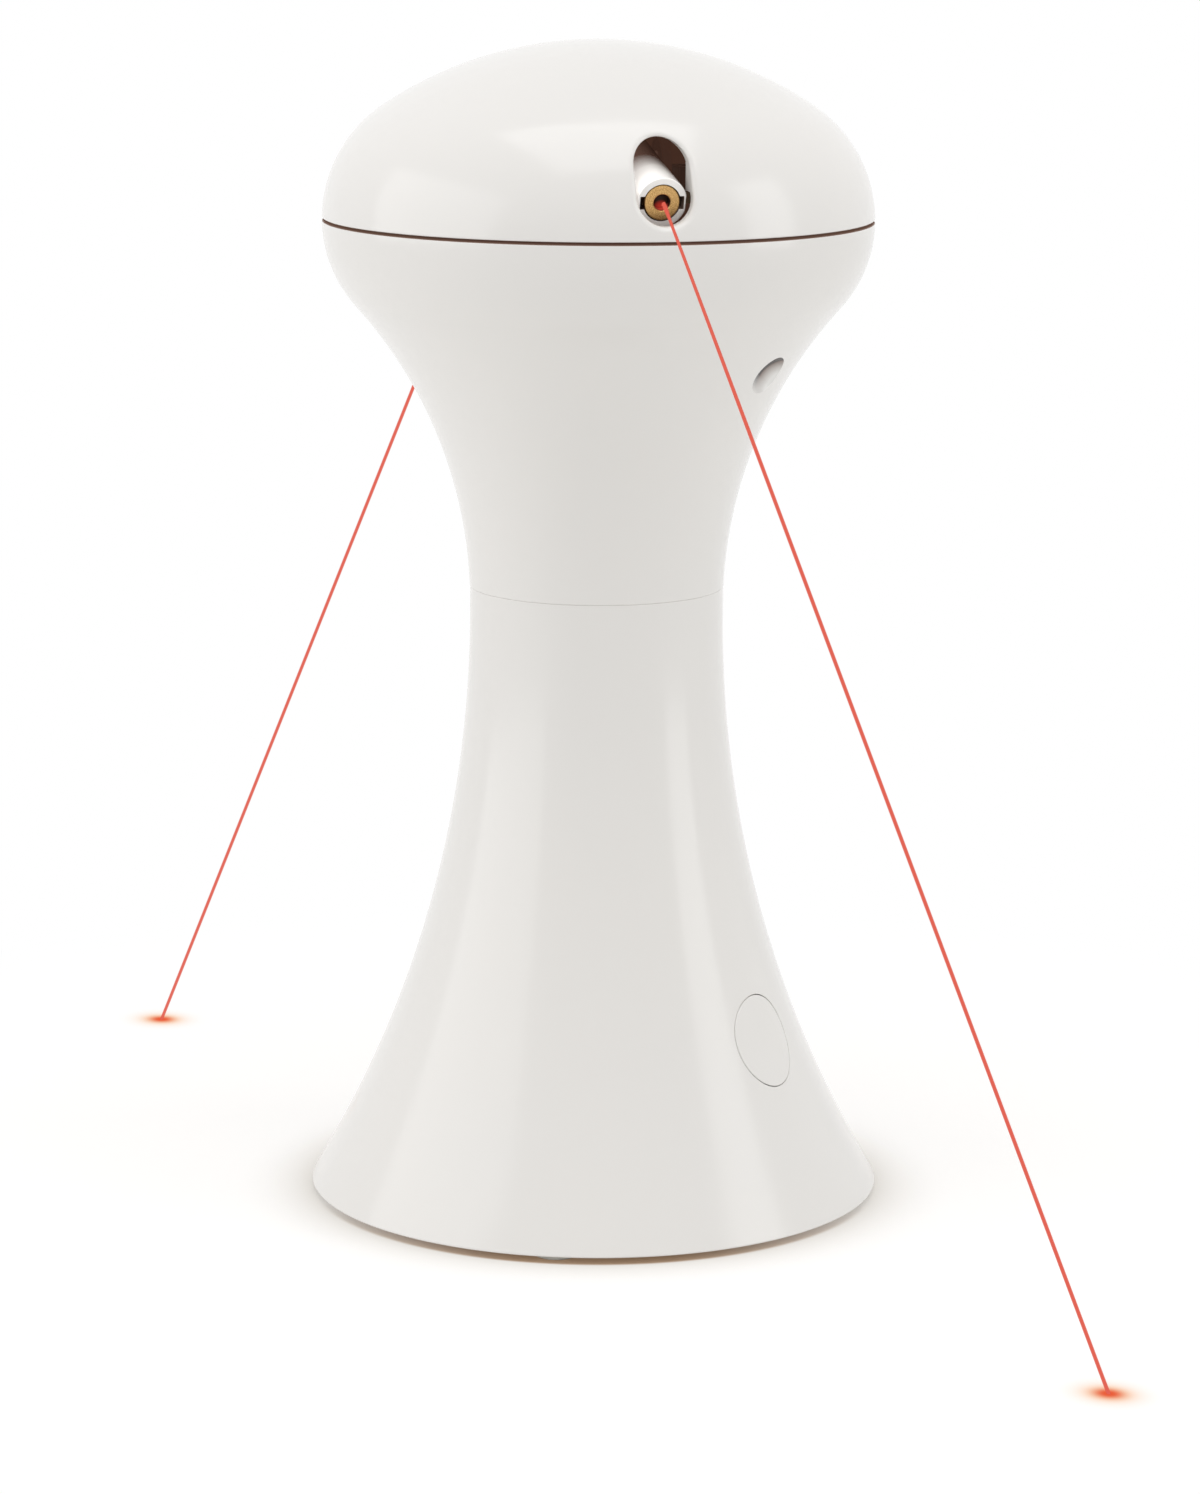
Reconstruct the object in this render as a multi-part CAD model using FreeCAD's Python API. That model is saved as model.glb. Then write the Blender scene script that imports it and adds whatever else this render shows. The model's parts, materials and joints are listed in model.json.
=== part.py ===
import FreeCAD, Part
import math
import os
from FreeCAD import Vector

# Automatic cat laser toy. Millimetres, +Z up, origin on the floor at the centre of the base.
# The front laser faces -Y. An azimuth is counted in degrees from -Y towards +X.
# A hollow trumpet-shaped stand carries a domed head that turns on a geared motor without end.
# Two laser tubes look out of slots in the dome, one each way, and each tilts on its own trunnions.

# ---------------------------------------------------------------- driving dimensions
# outside form
foot_height = 1.1
rim_radius = 53.0
waist_z = 108.5
waist_length = 2.0
neck_radius = 23.25
neck_seam_lift = 5.1
flare_height = 66.9
shoulder_bend = 22.9
head_radius = 50.0
brow_bend = 24.5
dome_height = 32.3
wall = 2.4
lining_steps = 5
short_lining_steps = 3

# clearances
reveal = 0.45
plastic_fit = 0.2
running_fit = 0.05
swing_gap = 0.5
face_gap = 0.1
overcut = 1.0

# base plate, battery door and feet
plate_thickness = 2.0
plate_ledge = 2.9
spigot_height = 6.0
door_thickness = 1.5
door_lip = 3.2
door_tab_reach = 5.0
door_tab_radius = 3.6
foot_radius = 4.0
foot_inset = 6.0
first_foot_azimuth = -21.9
base_boss_radius = 3.2
base_boss_inset = 12.0
first_boss_azimuth = 23.1

# battery box and cells
cell_radius = 7.25
cell_length = 49.3
cell_cap_radius = 2.75
cell_cap_height = 1.2
cell_gap = 0.2
cell_rib = 0.5
box_wall = 1.35
contact_thickness = 0.4
contact_spring_height = 2.8
contact_width = 6.0

# power button and its switch
button_azimuth = 42.7
button_z = 32.75
button_radius = 7.85
button_gap = 0.25
button_travel = 0.8
button_dish = 0.3
button_dish_margin = 1.2
collar_wall = 2.1
flange_thickness = 1.2
flange_margin = 0.4
stem_radius = 2.0
stem_length = 2.7
plunger_radius = 1.5
plunger_stand = 0.9
plunger_depth = 1.4
switch_size = 6.0
switch_depth = 3.5
switch_board_thickness = 1.2
switch_board_height = 11.0
switch_board_gap = 0.2
switch_post_spread = 12.4
switch_post_radius = 2.3

# dimple in the flare
dimple_azimuth = 46.3
dimple_drop = 25.9
dimple_radius = 4.9
dimple_depth = 1.5

# main board in the flare
board_lift = 17.4
board_thickness = 1.6
board_gap = 0.65
board_post_radius = 2.3
board_post_drop = 9.0
board_post_angle = 75.0

# motor deck
deck_drop = 22.5
deck_thickness = 2.0
deck_gap = 2.5
deck_post_radius = 3.0
deck_post_drop = 18.0
motor_radius = 7.75
motor_length = 20.0
motor_flat = 6.2
motor_boss_radius = 3.0
motor_shaft_radius = 1.0
motor_screw_ring = 5.2
bush_wall = 2.0
bush_flange = 1.8
bush_flange_height = 1.0
bush_tail = 1.0

# gear train, from the head gear out to the motor pinion
module = 0.5
pressure_angle = math.radians(20)
tooth_share = 0.40
tooth_dedendum = 1.25
head_teeth = 60
wheel_teeth = 36
pinion_teeth = 10
face_width = 3.0
tier_step = 4.0
first_tier_lift = 1.0
second_idler_direction = 90.0
first_idler_direction = -6.0
motor_direction = -76.6
gear_pin_radius = 1.0
gear_shoulder_radius = 1.6
retainer_radius = 2.1
retainer_height = 0.8

# spindle and slip ring
spindle_radius = 3.0
spindle_bore = 1.2
spindle_tail = 18.5
washer_thickness = 0.5
clip_radius = 4.8
clip_thickness = 0.8
hub_radius = 5.0
flange_hub_radius = 9.0
flange_hub_height = 7.0
hub_screw_ring = 6.2
drum_radius = 5.0
drum_length = 13.0
drum_top_drop = 2.5
track_height = 0.4
track_width = 2.0
track_count = 2
brush_thickness = 0.3
brush_block_width = 7.0
brush_block_depth = 3.0
brush_block_reach = 13.5

# head
floor_thickness = 1.6
floor_gap = 0.4
skirt_depth = 1.9
skirt_wall = 0.8
dome_boss_inset = 10.0
dome_boss_radius = 3.0
slot_width = 9.9
slot_lift = 3.0
slot_height = 14.85
slot_lip = 1.1
collar_depth = 5.0
collar_thickness = 1.2
collar_step_lift = 8.6

# lasers
tube_radius = 4.34
tube_recess = 4.5
tube_lift = 6.8
tube_dip = 13.5
tube_tail = 8.23
pivot_reach = 22.0
trunnion_radius = 1.5
cheek_gap = 0.66
cheek_thickness = 1.8
cheek_half_depth = 4.0
cradle_foot_thickness = 1.2
cradle_foot_width = 4.2
key_width = 2.3
key_depth = 0.6
key_length = 2.5
module_radius = 3.0
module_length = 18.0
module_ring = 0.3
module_ring_depth = 1.0
aperture_radius = 1.475
aperture_depth = 1.6
lens_thickness = 0.8
driver_thickness = 1.0
driver_width = 5.0
driver_length = 8.0

# head board
head_board_inner = 13.0
head_board_length = 22.0
head_board_half_width = 14.0
head_board_thickness = 1.2
head_board_lift = 1.8
head_post_radius = 2.2

# screws
screw_radius = 1.2
hole_clearance = 0.15
screw_head_radius = 2.1
screw_head_height = 1.1
long_screw = 9.0
short_screw = 5.0
stub_screw = 2.5
pilot_end = 1.0

# electronic parts
chip_size = 7.0
chip_height = 1.4
part_spacing = 10.0
can_radius = 2.5
can_height = 5.5
plug_length = 7.5
plug_width = 4.0
plug_height = 4.5
plug_wall = 1.0

# ---------------------------------------------------------------- what follows from them
neck_seam_z = waist_z + neck_seam_lift
head_seam_z = neck_seam_z + flare_height
top_z = head_seam_z + dome_height

# each bend is the one arc that meets its neighbours without a corner
spread = rim_radius - neck_radius
pedestal_bend = (spread ** 2 + (waist_z - foot_height) ** 2) / (2 * spread)
shoulder_centre_r = head_radius - shoulder_bend
flare_centre_z = waist_z + waist_length
flare_rise = head_seam_z - flare_centre_z
tuck = shoulder_centre_r - neck_radius
flare_bend = (tuck ** 2 + flare_rise ** 2 - shoulder_bend ** 2) / (2 * (shoulder_bend + tuck))
flare_centre_r = neck_radius + flare_bend
brow_centre_r = head_radius - brow_bend
crown_bend = (brow_centre_r ** 2 + dome_height ** 2 - brow_bend ** 2) / (2 * (dome_height - brow_bend))
crown_centre_z = top_z - crown_bend

plate_top = foot_height + plate_thickness
head_seat = foot_height + screw_head_height
door_top = foot_height + door_thickness
dome_bottom = head_seam_z + reveal
floor_top = dome_bottom + floor_thickness
head_board_seat = floor_top + head_board_lift
head_board_top = head_board_seat + head_board_thickness
deck_bottom = head_seam_z - deck_drop
deck_top = deck_bottom + deck_thickness
spigot_radius = neck_radius - wall - plastic_fit
spigot_top = neck_seam_z + spigot_height
foot_ring = rim_radius - foot_inset
base_boss_ring = rim_radius - base_boss_inset
dome_boss_ring = head_radius - dome_boss_inset

cell_pitch = cell_radius + cell_gap + cell_rib / 2
cell_bottom = door_top + contact_thickness + contact_spring_height
well_radius = cell_radius + cell_gap
well_top = cell_bottom + cell_length + cell_cap_height + contact_thickness
box_half = cell_pitch + well_radius + box_wall
box_corner = well_radius + box_wall
box_reach = (box_half - box_corner) * math.sqrt(2) + box_corner
opening_half = cell_pitch + well_radius
door_half = opening_half + door_lip
door_screw_y = door_half + door_tab_reach / 2

tier_z = [deck_top + first_tier_lift + tier_step * tier for tier in range(3)]
wheel_pair = module * (wheel_teeth + pinion_teeth) / 2
head_pair = module * (head_teeth + pinion_teeth) / 2


def polar(radius, degrees):
    """The point at a radius and an angle from +X."""
    angle = math.radians(degrees)
    return Vector(radius * math.cos(angle), radius * math.sin(angle), 0)


second_idler_at = polar(head_pair, second_idler_direction)
first_idler_at = second_idler_at + polar(wheel_pair, first_idler_direction)
motor_at = first_idler_at + polar(wheel_pair, motor_direction)
hub_bottom = deck_top + bush_flange_height + face_gap + washer_thickness

slot_bottom_z = head_seam_z + slot_lift
slot_top_z = slot_bottom_z + slot_height
collar_step_z = head_seam_z + collar_step_lift
tube_slope = math.radians(tube_dip)
tube_front = head_radius - tube_recess
tube_front_z = head_seam_z + tube_lift
pivot_z = tube_front_z + (tube_front - pivot_reach) * math.tan(tube_slope)
pivot_setback = (tube_front - pivot_reach) / math.cos(tube_slope)
tube_length = pivot_setback + tube_tail

switch_board_back = box_reach + switch_board_gap
switch_back = switch_board_back + switch_board_thickness
switch_face = switch_back + switch_depth
stem_back = switch_face + plunger_stand
flange_back = stem_back + stem_length
flange_face = flange_back + flange_thickness
collar_end = flange_face + face_gap


def flare_radius(height):
    """The outside radius of the flare's long bend at a height."""
    return flare_centre_r - math.sqrt(flare_bend ** 2 - (height - flare_centre_z) ** 2)


board_z = neck_seam_z + board_lift
board_radius = flare_radius(board_z) - wall - board_gap
board_post_ring = board_radius - board_post_radius
deck_radius = flare_radius(deck_bottom) - wall - deck_gap
deck_post_ring = deck_radius - deck_post_radius
dimple_z = head_seam_z - dimple_drop


# ---------------------------------------------------------------- helpers
def turn(shape, degrees):
    """A copy of the shape turned about Z."""
    return shape.rotated(Vector(0, 0, 0), Vector(0, 0, 1), degrees)


def face_out(shape, azimuth, height):
    """Turns a shape modelled along +X to look out at an azimuth, and lifts it."""
    return turn(shape, azimuth - 90).translated(Vector(0, 0, height))


def disc(radius, bottom, top, at=Vector(0, 0, 0)):
    """An upright cylinder."""
    return Part.makeCylinder(radius, top - bottom, Vector(at.x, at.y, bottom))


def ring(outer, inner, bottom, top, at=Vector(0, 0, 0)):
    """An upright tube."""
    return disc(outer, bottom, top, at).cut(disc(inner, bottom - overcut, top + overcut, at))


def rod(radius, start, end, side=0, height=0):
    """A cylinder that lies along +X from start to end."""
    return Part.makeCylinder(radius, end - start, Vector(start, side, height), Vector(1, 0, 0))


def block(low, high):
    """A box between two corners."""
    size = high - low
    return Part.makeBox(size.x, size.y, size.z, low)


def rounded_block(half, corner, bottom, top):
    """An upright square prism about the axis with rounded corners."""
    plain = block(Vector(-half, -half, bottom), Vector(half, half, top))
    upright = [edge for edge in plain.Edges if abs(edge.tangentAt(edge.FirstParameter).z) > 0.9]
    return plain.makeFillet(corner, upright)


def bend(centre_r, centre_z, radius, start, end):
    """An arc of an outline in the XZ plane, between two angles in radians."""
    points = []
    for angle in (start, (start + end) / 2, end):
        points.append(Vector(centre_r + radius * math.cos(angle), 0, centre_z + radius * math.sin(angle)))
    return Part.Arc(*points)


def turned(outline):
    """The solid that an outline of points and arcs sweeps about the axis, closed along the axis."""
    edges = []
    here = None
    for step in outline:
        start = step if isinstance(step, Vector) else step.value(step.FirstParameter)
        if here is not None and here.distanceToPoint(start) > 1e-6:
            edges.append(Part.makeLine(here, start))
        here = start
        if not isinstance(step, Vector):
            edges.append(step.toShape())
            here = step.value(step.LastParameter)
    first = edges[0].Vertexes[0].Point
    if here.distanceToPoint(first) > 1e-6:
        edges.append(Part.makeLine(here, first))
    return Part.Face(Part.Wire(Part.sortEdges(edges)[0])).revolve(Vector(0, 0, 0), Vector(0, 0, 1), 360)


def lining(curve, count, depth=wall):
    """Points at a depth inside a curve, for a hollow made of short cones."""
    points = []
    for step in range(count + 1):
        at = curve.FirstParameter + (curve.LastParameter - curve.FirstParameter) * step / count
        along = curve.tangent(at)[0]
        points.append(curve.value(at) + Vector(-along.z, 0, along.x) * depth)
    return points


def core(points):
    """The solid inside a lining, which trims what grows out of a shell's wall."""
    low = Vector(0, 0, points[0].z)
    return turned([low] + points + [Vector(0, 0, points[-1].z), low])


def screw(length):
    """A pan-head screw that hangs from z 0, its head above."""
    return disc(screw_head_radius, 0, screw_head_height).fuse(disc(screw_radius, -length, 0))


def pilots(points, top, length):
    """Screw holes that run down from a face."""
    return [disc(screw_radius, top - length, top + overcut, at) for at in points]


def clear_holes(points, bottom, top):
    """Holes that a screw passes through without biting."""
    radius = screw_radius + hole_clearance
    return [disc(radius, bottom - overcut, top + overcut, at) for at in points]


def screws_down(points, seat, length):
    """Screws put in from above, their heads on the seat."""
    return [screw(length).translated(Vector(at.x, at.y, seat)) for at in points]


def screws_up(points, seat, length):
    """Screws put in from below, their heads under the seat."""
    flipped = screw(length).rotated(Vector(0, 0, 0), Vector(1, 0, 0), 180)
    return [flipped.translated(Vector(at.x, at.y, seat)) for at in points]


def around(radius, first, count):
    """Points evenly spaced on a ring, the first at an angle from +X."""
    return [polar(radius, first + 360 / count * step) for step in range(count)]


# ---------------------------------------------------------------- outside curves
def pedestal_curve():
    start = math.pi + math.asin((waist_z - foot_height) / pedestal_bend)
    return bend(neck_radius + pedestal_bend, waist_z, pedestal_bend, start, math.pi)


def flare_curve():
    start = math.pi - math.asin((neck_seam_z - flare_centre_z) / flare_bend)
    end = math.pi - math.asin(flare_rise / (flare_bend + shoulder_bend))
    return bend(flare_centre_r, flare_centre_z, flare_bend, start, end)


def shoulder_curve():
    start = -math.asin(flare_rise / (flare_bend + shoulder_bend))
    return bend(shoulder_centre_r, head_seam_z, shoulder_bend, start, 0)


def crown_joint():
    return math.atan2(head_seam_z - crown_centre_z, brow_centre_r)


def brow_curve():
    start = math.asin(reveal / brow_bend)
    return bend(brow_centre_r, head_seam_z, brow_bend, start, crown_joint())


def crown_curve():
    return bend(0, crown_centre_z, crown_bend, crown_joint(), math.pi / 2)


def pedestal_lining(depth=wall):
    return lining(pedestal_curve(), lining_steps, depth)


def flare_lining(depth=wall):
    shoulder = lining(shoulder_curve(), short_lining_steps, depth)
    return lining(flare_curve(), lining_steps, depth) + shoulder[1:]


def dome_lining(depth=wall):
    crown = lining(crown_curve(), short_lining_steps, depth)
    return lining(brow_curve(), short_lining_steps, depth) + crown[1:]


def pedestal_form():
    """The stand's outside as a solid, from the rim up to the neck seam."""
    curve = pedestal_curve()
    bottom = Vector(0, 0, foot_height)
    return turned([bottom, curve, Vector(neck_radius, 0, neck_seam_z), Vector(0, 0, neck_seam_z), bottom])


def flare_form():
    """The flare's outside as a solid, from the neck seam up to the head seam."""
    bottom = Vector(0, 0, neck_seam_z)
    return turned([bottom, flare_curve(), shoulder_curve(), Vector(0, 0, head_seam_z), bottom])


def dome_form():
    """The dome's outside as a solid."""
    bottom = Vector(0, 0, dome_bottom)
    return turned([bottom, brow_curve(), crown_curve(), bottom])


# ---------------------------------------------------------------- stand
def switch_posts():
    """Two posts on the inside of the stand that carry the switch board."""
    posts = []
    for side in (-1, 1):
        post = rod(switch_post_radius, switch_back, rim_radius, side * switch_post_spread)
        posts.append(face_out(post, button_azimuth, button_z))
    return posts


def switch_pilots(start, end, radius):
    """Cylinders on the switch board's two screw axes."""
    pins = []
    for side in (-1, 1):
        pins.append(face_out(rod(radius, start, end, side * switch_post_spread), button_azimuth, button_z))
    return pins


def lower_housing():
    """Hollow stand with a stepped rim, a button collar, screw bosses and a spigot at the neck."""
    points = pedestal_lining()
    throat = spigot_radius - wall
    mouth_z = spigot_top + overcut
    hollow = turned(
        [Vector(0, 0, 0), Vector(points[0].x, 0, 0)]
        + points
        + [Vector(throat, 0, points[-1].z), Vector(throat, 0, mouth_z)]
        + [Vector(0, 0, mouth_z), Vector(0, 0, 0)]
    )
    hollow = hollow.fuse(disc(rim_radius - plate_ledge, 0, plate_top + face_gap))
    spigot = disc(spigot_radius, neck_seam_z, spigot_top)
    shell = pedestal_form().fuse(spigot).cut(hollow)
    bosses = [disc(base_boss_radius, plate_top, neck_seam_z, at) for at in boss_points()]
    bore = button_radius + button_gap
    collar = rod(bore + collar_wall, collar_end, rim_radius)
    inside = bosses + [face_out(collar, button_azimuth, button_z)] + switch_posts()
    inner = core(pedestal_lining(wall / 2))
    shell = shell.fuse([piece.common(inner) for piece in inside])
    holes = [disc(screw_radius, plate_top - overcut, plate_top + long_screw, at) for at in boss_points()]
    holes += switch_pilots(switch_back - overcut, switch_back + short_screw, screw_radius)
    holes.append(face_out(rod(bore, collar_end - overcut, rim_radius), button_azimuth, button_z))
    return shell.cut(holes).removeSplitter()


def boss_points():
    return around(base_boss_ring, first_boss_azimuth - 90, 4)


def foot_points():
    return around(foot_ring, first_foot_azimuth - 90, 4)


def door_outline(grow, bottom, top):
    """The battery door's plan: a rounded square with a tab for its screw."""
    half = door_half + grow
    square = rounded_block(half, door_lip, bottom, top)
    width = door_tab_radius + grow
    tab = block(Vector(-width, 0, bottom), Vector(width, door_screw_y, top))
    return square.fuse([tab, disc(width, bottom, top, Vector(0, door_screw_y, 0))])


def cell_points():
    return [Vector(x * cell_pitch, y * cell_pitch, 0) for x in (-1, 1) for y in (-1, 1)]


def base_plate():
    """Floor of the stand, moulded in one with the battery box that stands on it."""
    plate = disc(rim_radius - plate_ledge - plastic_fit, foot_height, plate_top)
    box = rounded_block(box_half, box_corner, plate_top, well_top + box_wall)
    frame = rounded_block(door_half + box_wall, door_lip + box_wall, foot_height, door_top + box_wall)
    door_screw_at = Vector(0, door_screw_y, 0)
    tab_boss = disc(door_tab_radius, plate_top, plate_top + short_screw, door_screw_at)
    body = plate.fuse([box, frame, tab_boss])
    body = body.cut(door_outline(plastic_fit, 0, door_top))
    body = body.cut([disc(well_radius, foot_height, well_top, at) for at in cell_points()])
    holes = [rounded_block(opening_half, well_radius, foot_height, cell_bottom)]
    holes.append(disc(screw_radius, 0, plate_top + short_screw - pilot_end, door_screw_at))
    for x in (-cell_pitch, cell_pitch):
        holes.append(contact_bridge(x, well_top - contact_thickness, plastic_fit))
    holes += clear_holes(boss_points(), foot_height, plate_top)
    for at in boss_points():
        holes.append(disc(screw_head_radius + plastic_fit, 0, head_seat, at))
    return body.cut(holes).removeSplitter()


def base_screws():
    return screws_up(boss_points(), head_seat, long_screw - pilot_end)


def rubber_feet():
    return [disc(foot_radius, 0, foot_height, at) for at in foot_points()]


def battery_door():
    """Screwed door under the cells, with a sunk seat for its screw."""
    door = door_outline(0, foot_height, door_top)
    at = Vector(0, door_screw_y, 0)
    seat = disc(screw_head_radius + plastic_fit, 0, head_seat, at)
    return door.cut([seat] + clear_holes([at], foot_height, door_top))


def battery_door_screw():
    return screws_up([Vector(0, door_screw_y, 0)], head_seat, short_screw - pilot_end)


def battery_cells():
    """Four cells side by side, two of them standing on their caps."""
    cells = []
    for index, at in enumerate(cell_points()):
        flipped = index in (1, 2)
        can_bottom = cell_bottom + (cell_cap_height if flipped else 0)
        cap_bottom = cell_bottom if flipped else cell_bottom + cell_length
        can = disc(cell_radius, can_bottom, can_bottom + cell_length, at)
        cells.append(can.fuse(disc(cell_cap_radius, cap_bottom, cap_bottom + cell_cap_height, at)))
    return cells


def contact_bridge(x, bottom, grow=0.0):
    """A strip that joins the two cells of one side."""
    half = contact_width / 2 + grow
    reach = cell_pitch + half
    return block(Vector(x - half, -reach, bottom), Vector(x + half, reach, bottom + contact_thickness))


def contact_leaf(x, y):
    """A sprung tent of thin strip that presses on the end of one cell."""
    foot = door_top + contact_thickness
    half = contact_width / 2
    left = x - half
    rise = [Vector(left, y - half, foot), Vector(left, y, cell_bottom), Vector(left, y + half, foot)]
    under = [point - Vector(0, 0, contact_thickness) for point in reversed(rise)]
    return Part.Face(Part.makePolygon(rise + under + rise[:1])).extrude(Vector(contact_width, 0, 0))


def contact_springs():
    """Strips on the door with a sprung leaf under each cell."""
    strips = []
    for x in (-cell_pitch, cell_pitch):
        leaves = [contact_leaf(x, y) for y in (-cell_pitch, cell_pitch)]
        strips.append(contact_bridge(x, door_top).fuse(leaves))
    return strips


def contact_plates():
    """Strips under the roof of the battery box that join the cells' tops."""
    return [contact_bridge(x, well_top - contact_thickness) for x in (-cell_pitch, cell_pitch)]


# ---------------------------------------------------------------- power button
def power_button():
    """Round cap, flush with the sloping stand and slightly dished, on a flange and a stem."""
    cap = rod(button_radius, flange_face, rim_radius)
    cap = face_out(cap, button_azimuth, button_z).common(pedestal_form())
    flange = rod(button_radius + button_gap + collar_wall - flange_margin, flange_back, flange_face)
    stem = rod(stem_radius, stem_back, flange_back)
    body = cap.fuse([face_out(flange, button_azimuth, button_z), face_out(stem, button_azimuth, button_z)])
    return body.cut(dish()).removeSplitter()


def dish():
    """The shallow ball that hollows the button's face."""
    rim = button_radius - button_dish_margin
    ball = (rim ** 2 + button_dish ** 2) / (2 * button_dish)
    slope = math.asin((waist_z - button_z) / pedestal_bend)
    face_r = neck_radius + pedestal_bend * (1 - math.cos(slope))
    out = ball - button_dish
    centre = Vector(face_r + out * math.cos(slope), 0, out * math.sin(slope))
    return face_out(Part.makeSphere(ball, centre), button_azimuth, button_z)


def switch_plunger():
    return face_out(rod(plunger_radius, switch_face - plunger_depth, stem_back), button_azimuth, button_z)


def switch_body():
    """Push switch with a blind well that its plunger slides in."""
    half = switch_size / 2
    body = block(Vector(switch_back, -half, -half), Vector(switch_face, half, half))
    depth = plunger_depth + button_travel + face_gap
    well = rod(plunger_radius + running_fit, switch_face - depth, switch_face + overcut)
    return face_out(body.cut(well), button_azimuth, button_z)


def switch_board():
    """Small board across the two posts, behind the switch."""
    half = switch_post_spread + switch_post_radius
    low = Vector(switch_board_back, -half, -switch_board_height / 2)
    board = block(low, Vector(switch_back, half, switch_board_height / 2))
    board = face_out(board, button_azimuth, button_z)
    clearance = screw_radius + hole_clearance
    return board.cut(switch_pilots(switch_board_back - overcut, switch_back + overcut, clearance))


def switch_board_screws():
    pieces = []
    lying = screw(short_screw - pilot_end).rotated(Vector(0, 0, 0), Vector(0, 1, 0), -90)
    for side in (-1, 1):
        at = Vector(switch_board_back, side * switch_post_spread, 0)
        pieces.append(face_out(lying.translated(at), button_azimuth, button_z))
    return pieces


# ---------------------------------------------------------------- flare
def deck_post_points():
    return around(deck_post_ring, 0, 3)


def board_post_points():
    return around(board_post_ring, board_post_angle, 3)


def dimple_tools():
    """The ball that presses the dimple into the flare, and the one that keeps a full wall behind it."""
    ball = (dimple_radius ** 2 + dimple_depth ** 2) / (2 * dimple_depth)
    slope = math.asin((dimple_z - flare_centre_z) / flare_bend)
    face_r = flare_centre_r - flare_bend * math.cos(slope)
    normal = Vector(math.cos(slope), 0, -math.sin(slope))
    centre = Vector(face_r, 0, 0) + normal * (ball - dimple_depth)
    tools = [Part.makeSphere(ball + wall, centre), Part.makeSphere(ball, centre)]
    return [face_out(tool, dimple_azimuth, dimple_z) for tool in tools]


def upper_housing():
    """Trumpet-shaped shell above the neck, with posts for the motor deck and the main board."""
    points = flare_lining()
    low_z = neck_seam_z - overcut
    high_z = head_seam_z + overcut
    hollow = turned(
        [Vector(0, 0, low_z), Vector(points[0].x, 0, low_z)]
        + points
        + [Vector(points[-1].x, 0, high_z), Vector(0, 0, high_z), Vector(0, 0, low_z)]
    )
    shell = flare_form().cut(hollow)
    backing, scoop = dimple_tools()
    deck_foot = deck_bottom - deck_post_drop
    board_foot = board_z - board_post_drop
    inside = [disc(deck_post_radius, deck_foot, deck_bottom, at) for at in deck_post_points()]
    inside += [disc(board_post_radius, board_foot, board_z, at) for at in board_post_points()]
    inside.append(backing)
    inner = core(flare_lining(wall / 2))
    shell = shell.fuse([piece.common(inner) for piece in inside])
    holes = pilots(deck_post_points(), deck_bottom, short_screw)
    holes += pilots(board_post_points(), board_z, short_screw)
    return shell.cut(holes + [scoop]).removeSplitter()


def main_board():
    board = disc(board_radius, board_z, board_z + board_thickness)
    return board.cut(clear_holes(board_post_points(), board_z, board_z + board_thickness))


def upright_block(at, width, length, bottom, top):
    """A box that stands on a board, centred on a point."""
    half = Vector(width / 2, length / 2, 0)
    return block(at - half + Vector(0, 0, bottom), at + half + Vector(0, 0, top))


def board_parts(seat, middle, spacing):
    """A chip, a tall capacitor and an open wire plug in a row on a board."""
    plug_at = middle - spacing
    chip = upright_block(middle, chip_size, chip_size, seat, seat + chip_height)
    can = disc(can_radius, seat, seat + can_height, middle + spacing)
    shell = upright_block(plug_at, plug_width, plug_length, seat, seat + plug_height)
    inner_width = plug_width - 2 * plug_wall
    inner_length = plug_length - 2 * plug_wall
    well = upright_block(plug_at, inner_width, inner_length, seat + plug_wall, seat + plug_height + overcut)
    return [chip, can, shell.cut(well)]


def board_components():
    return board_parts(board_z + board_thickness, Vector(0, 0, 0), Vector(0, part_spacing, 0))


def board_screws():
    return screws_down(board_post_points(), board_z + board_thickness, short_screw)


# ---------------------------------------------------------------- motor deck and gears
def motor_screw_points():
    """The two screws of the motor, on a line through its shaft."""
    return [motor_at + polar(motor_screw_ring, motor_direction + side) for side in (90, -90)]


def motor_deck():
    """Round shelf on three posts that carries the motor, the gear pins and the spindle's bush."""
    deck = disc(deck_radius, deck_bottom, deck_top)
    low = deck_bottom - overcut
    high = deck_top + overcut
    holes = [disc(spindle_radius + running_fit + bush_wall, low, high)]
    holes.append(disc(motor_boss_radius, low, high, motor_at))
    holes += clear_holes(deck_post_points(), deck_bottom, deck_top)
    for at in motor_screw_points():
        holes.append(disc(screw_radius, low, high, at))
        holes.append(disc(screw_head_radius, deck_top - screw_head_height, high, at))
    for at in (first_idler_at, second_idler_at):
        holes.append(disc(gear_pin_radius, low, high, at))
    return deck.cut(holes)


def deck_screws():
    return screws_down(deck_post_points(), deck_top, short_screw)


def drive_motor():
    """Small can motor with two flats, hung under the deck by its face."""
    can = disc(motor_radius, deck_bottom - motor_length, deck_bottom, motor_at)
    flats = block(Vector(-motor_flat, -motor_radius, 0), Vector(motor_flat, motor_radius, deck_bottom))
    can = can.common(turn(flats, motor_direction).translated(motor_at))
    can = can.fuse(disc(motor_boss_radius, deck_bottom, deck_top, motor_at))
    well_floor = deck_bottom - motor_length / 2
    well = disc(motor_shaft_radius + running_fit, well_floor, deck_top + overcut, motor_at)
    bite = short_screw + screw_head_height - deck_thickness
    return can.cut([well] + pilots(motor_screw_points(), deck_bottom, bite))


def motor_screws():
    return screws_down(motor_screw_points(), deck_top - screw_head_height, short_screw)


def involute(angle):
    return math.tan(angle) - angle


def tooth_half_angle(teeth, radius):
    """Half of the angle that a tooth covers at a radius."""
    pitch = module * teeth / 2
    base = pitch * math.cos(pressure_angle)
    at_radius = math.acos(min(1, base / radius))
    return math.pi * tooth_share / teeth + involute(pressure_angle) - involute(at_radius)


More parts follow.
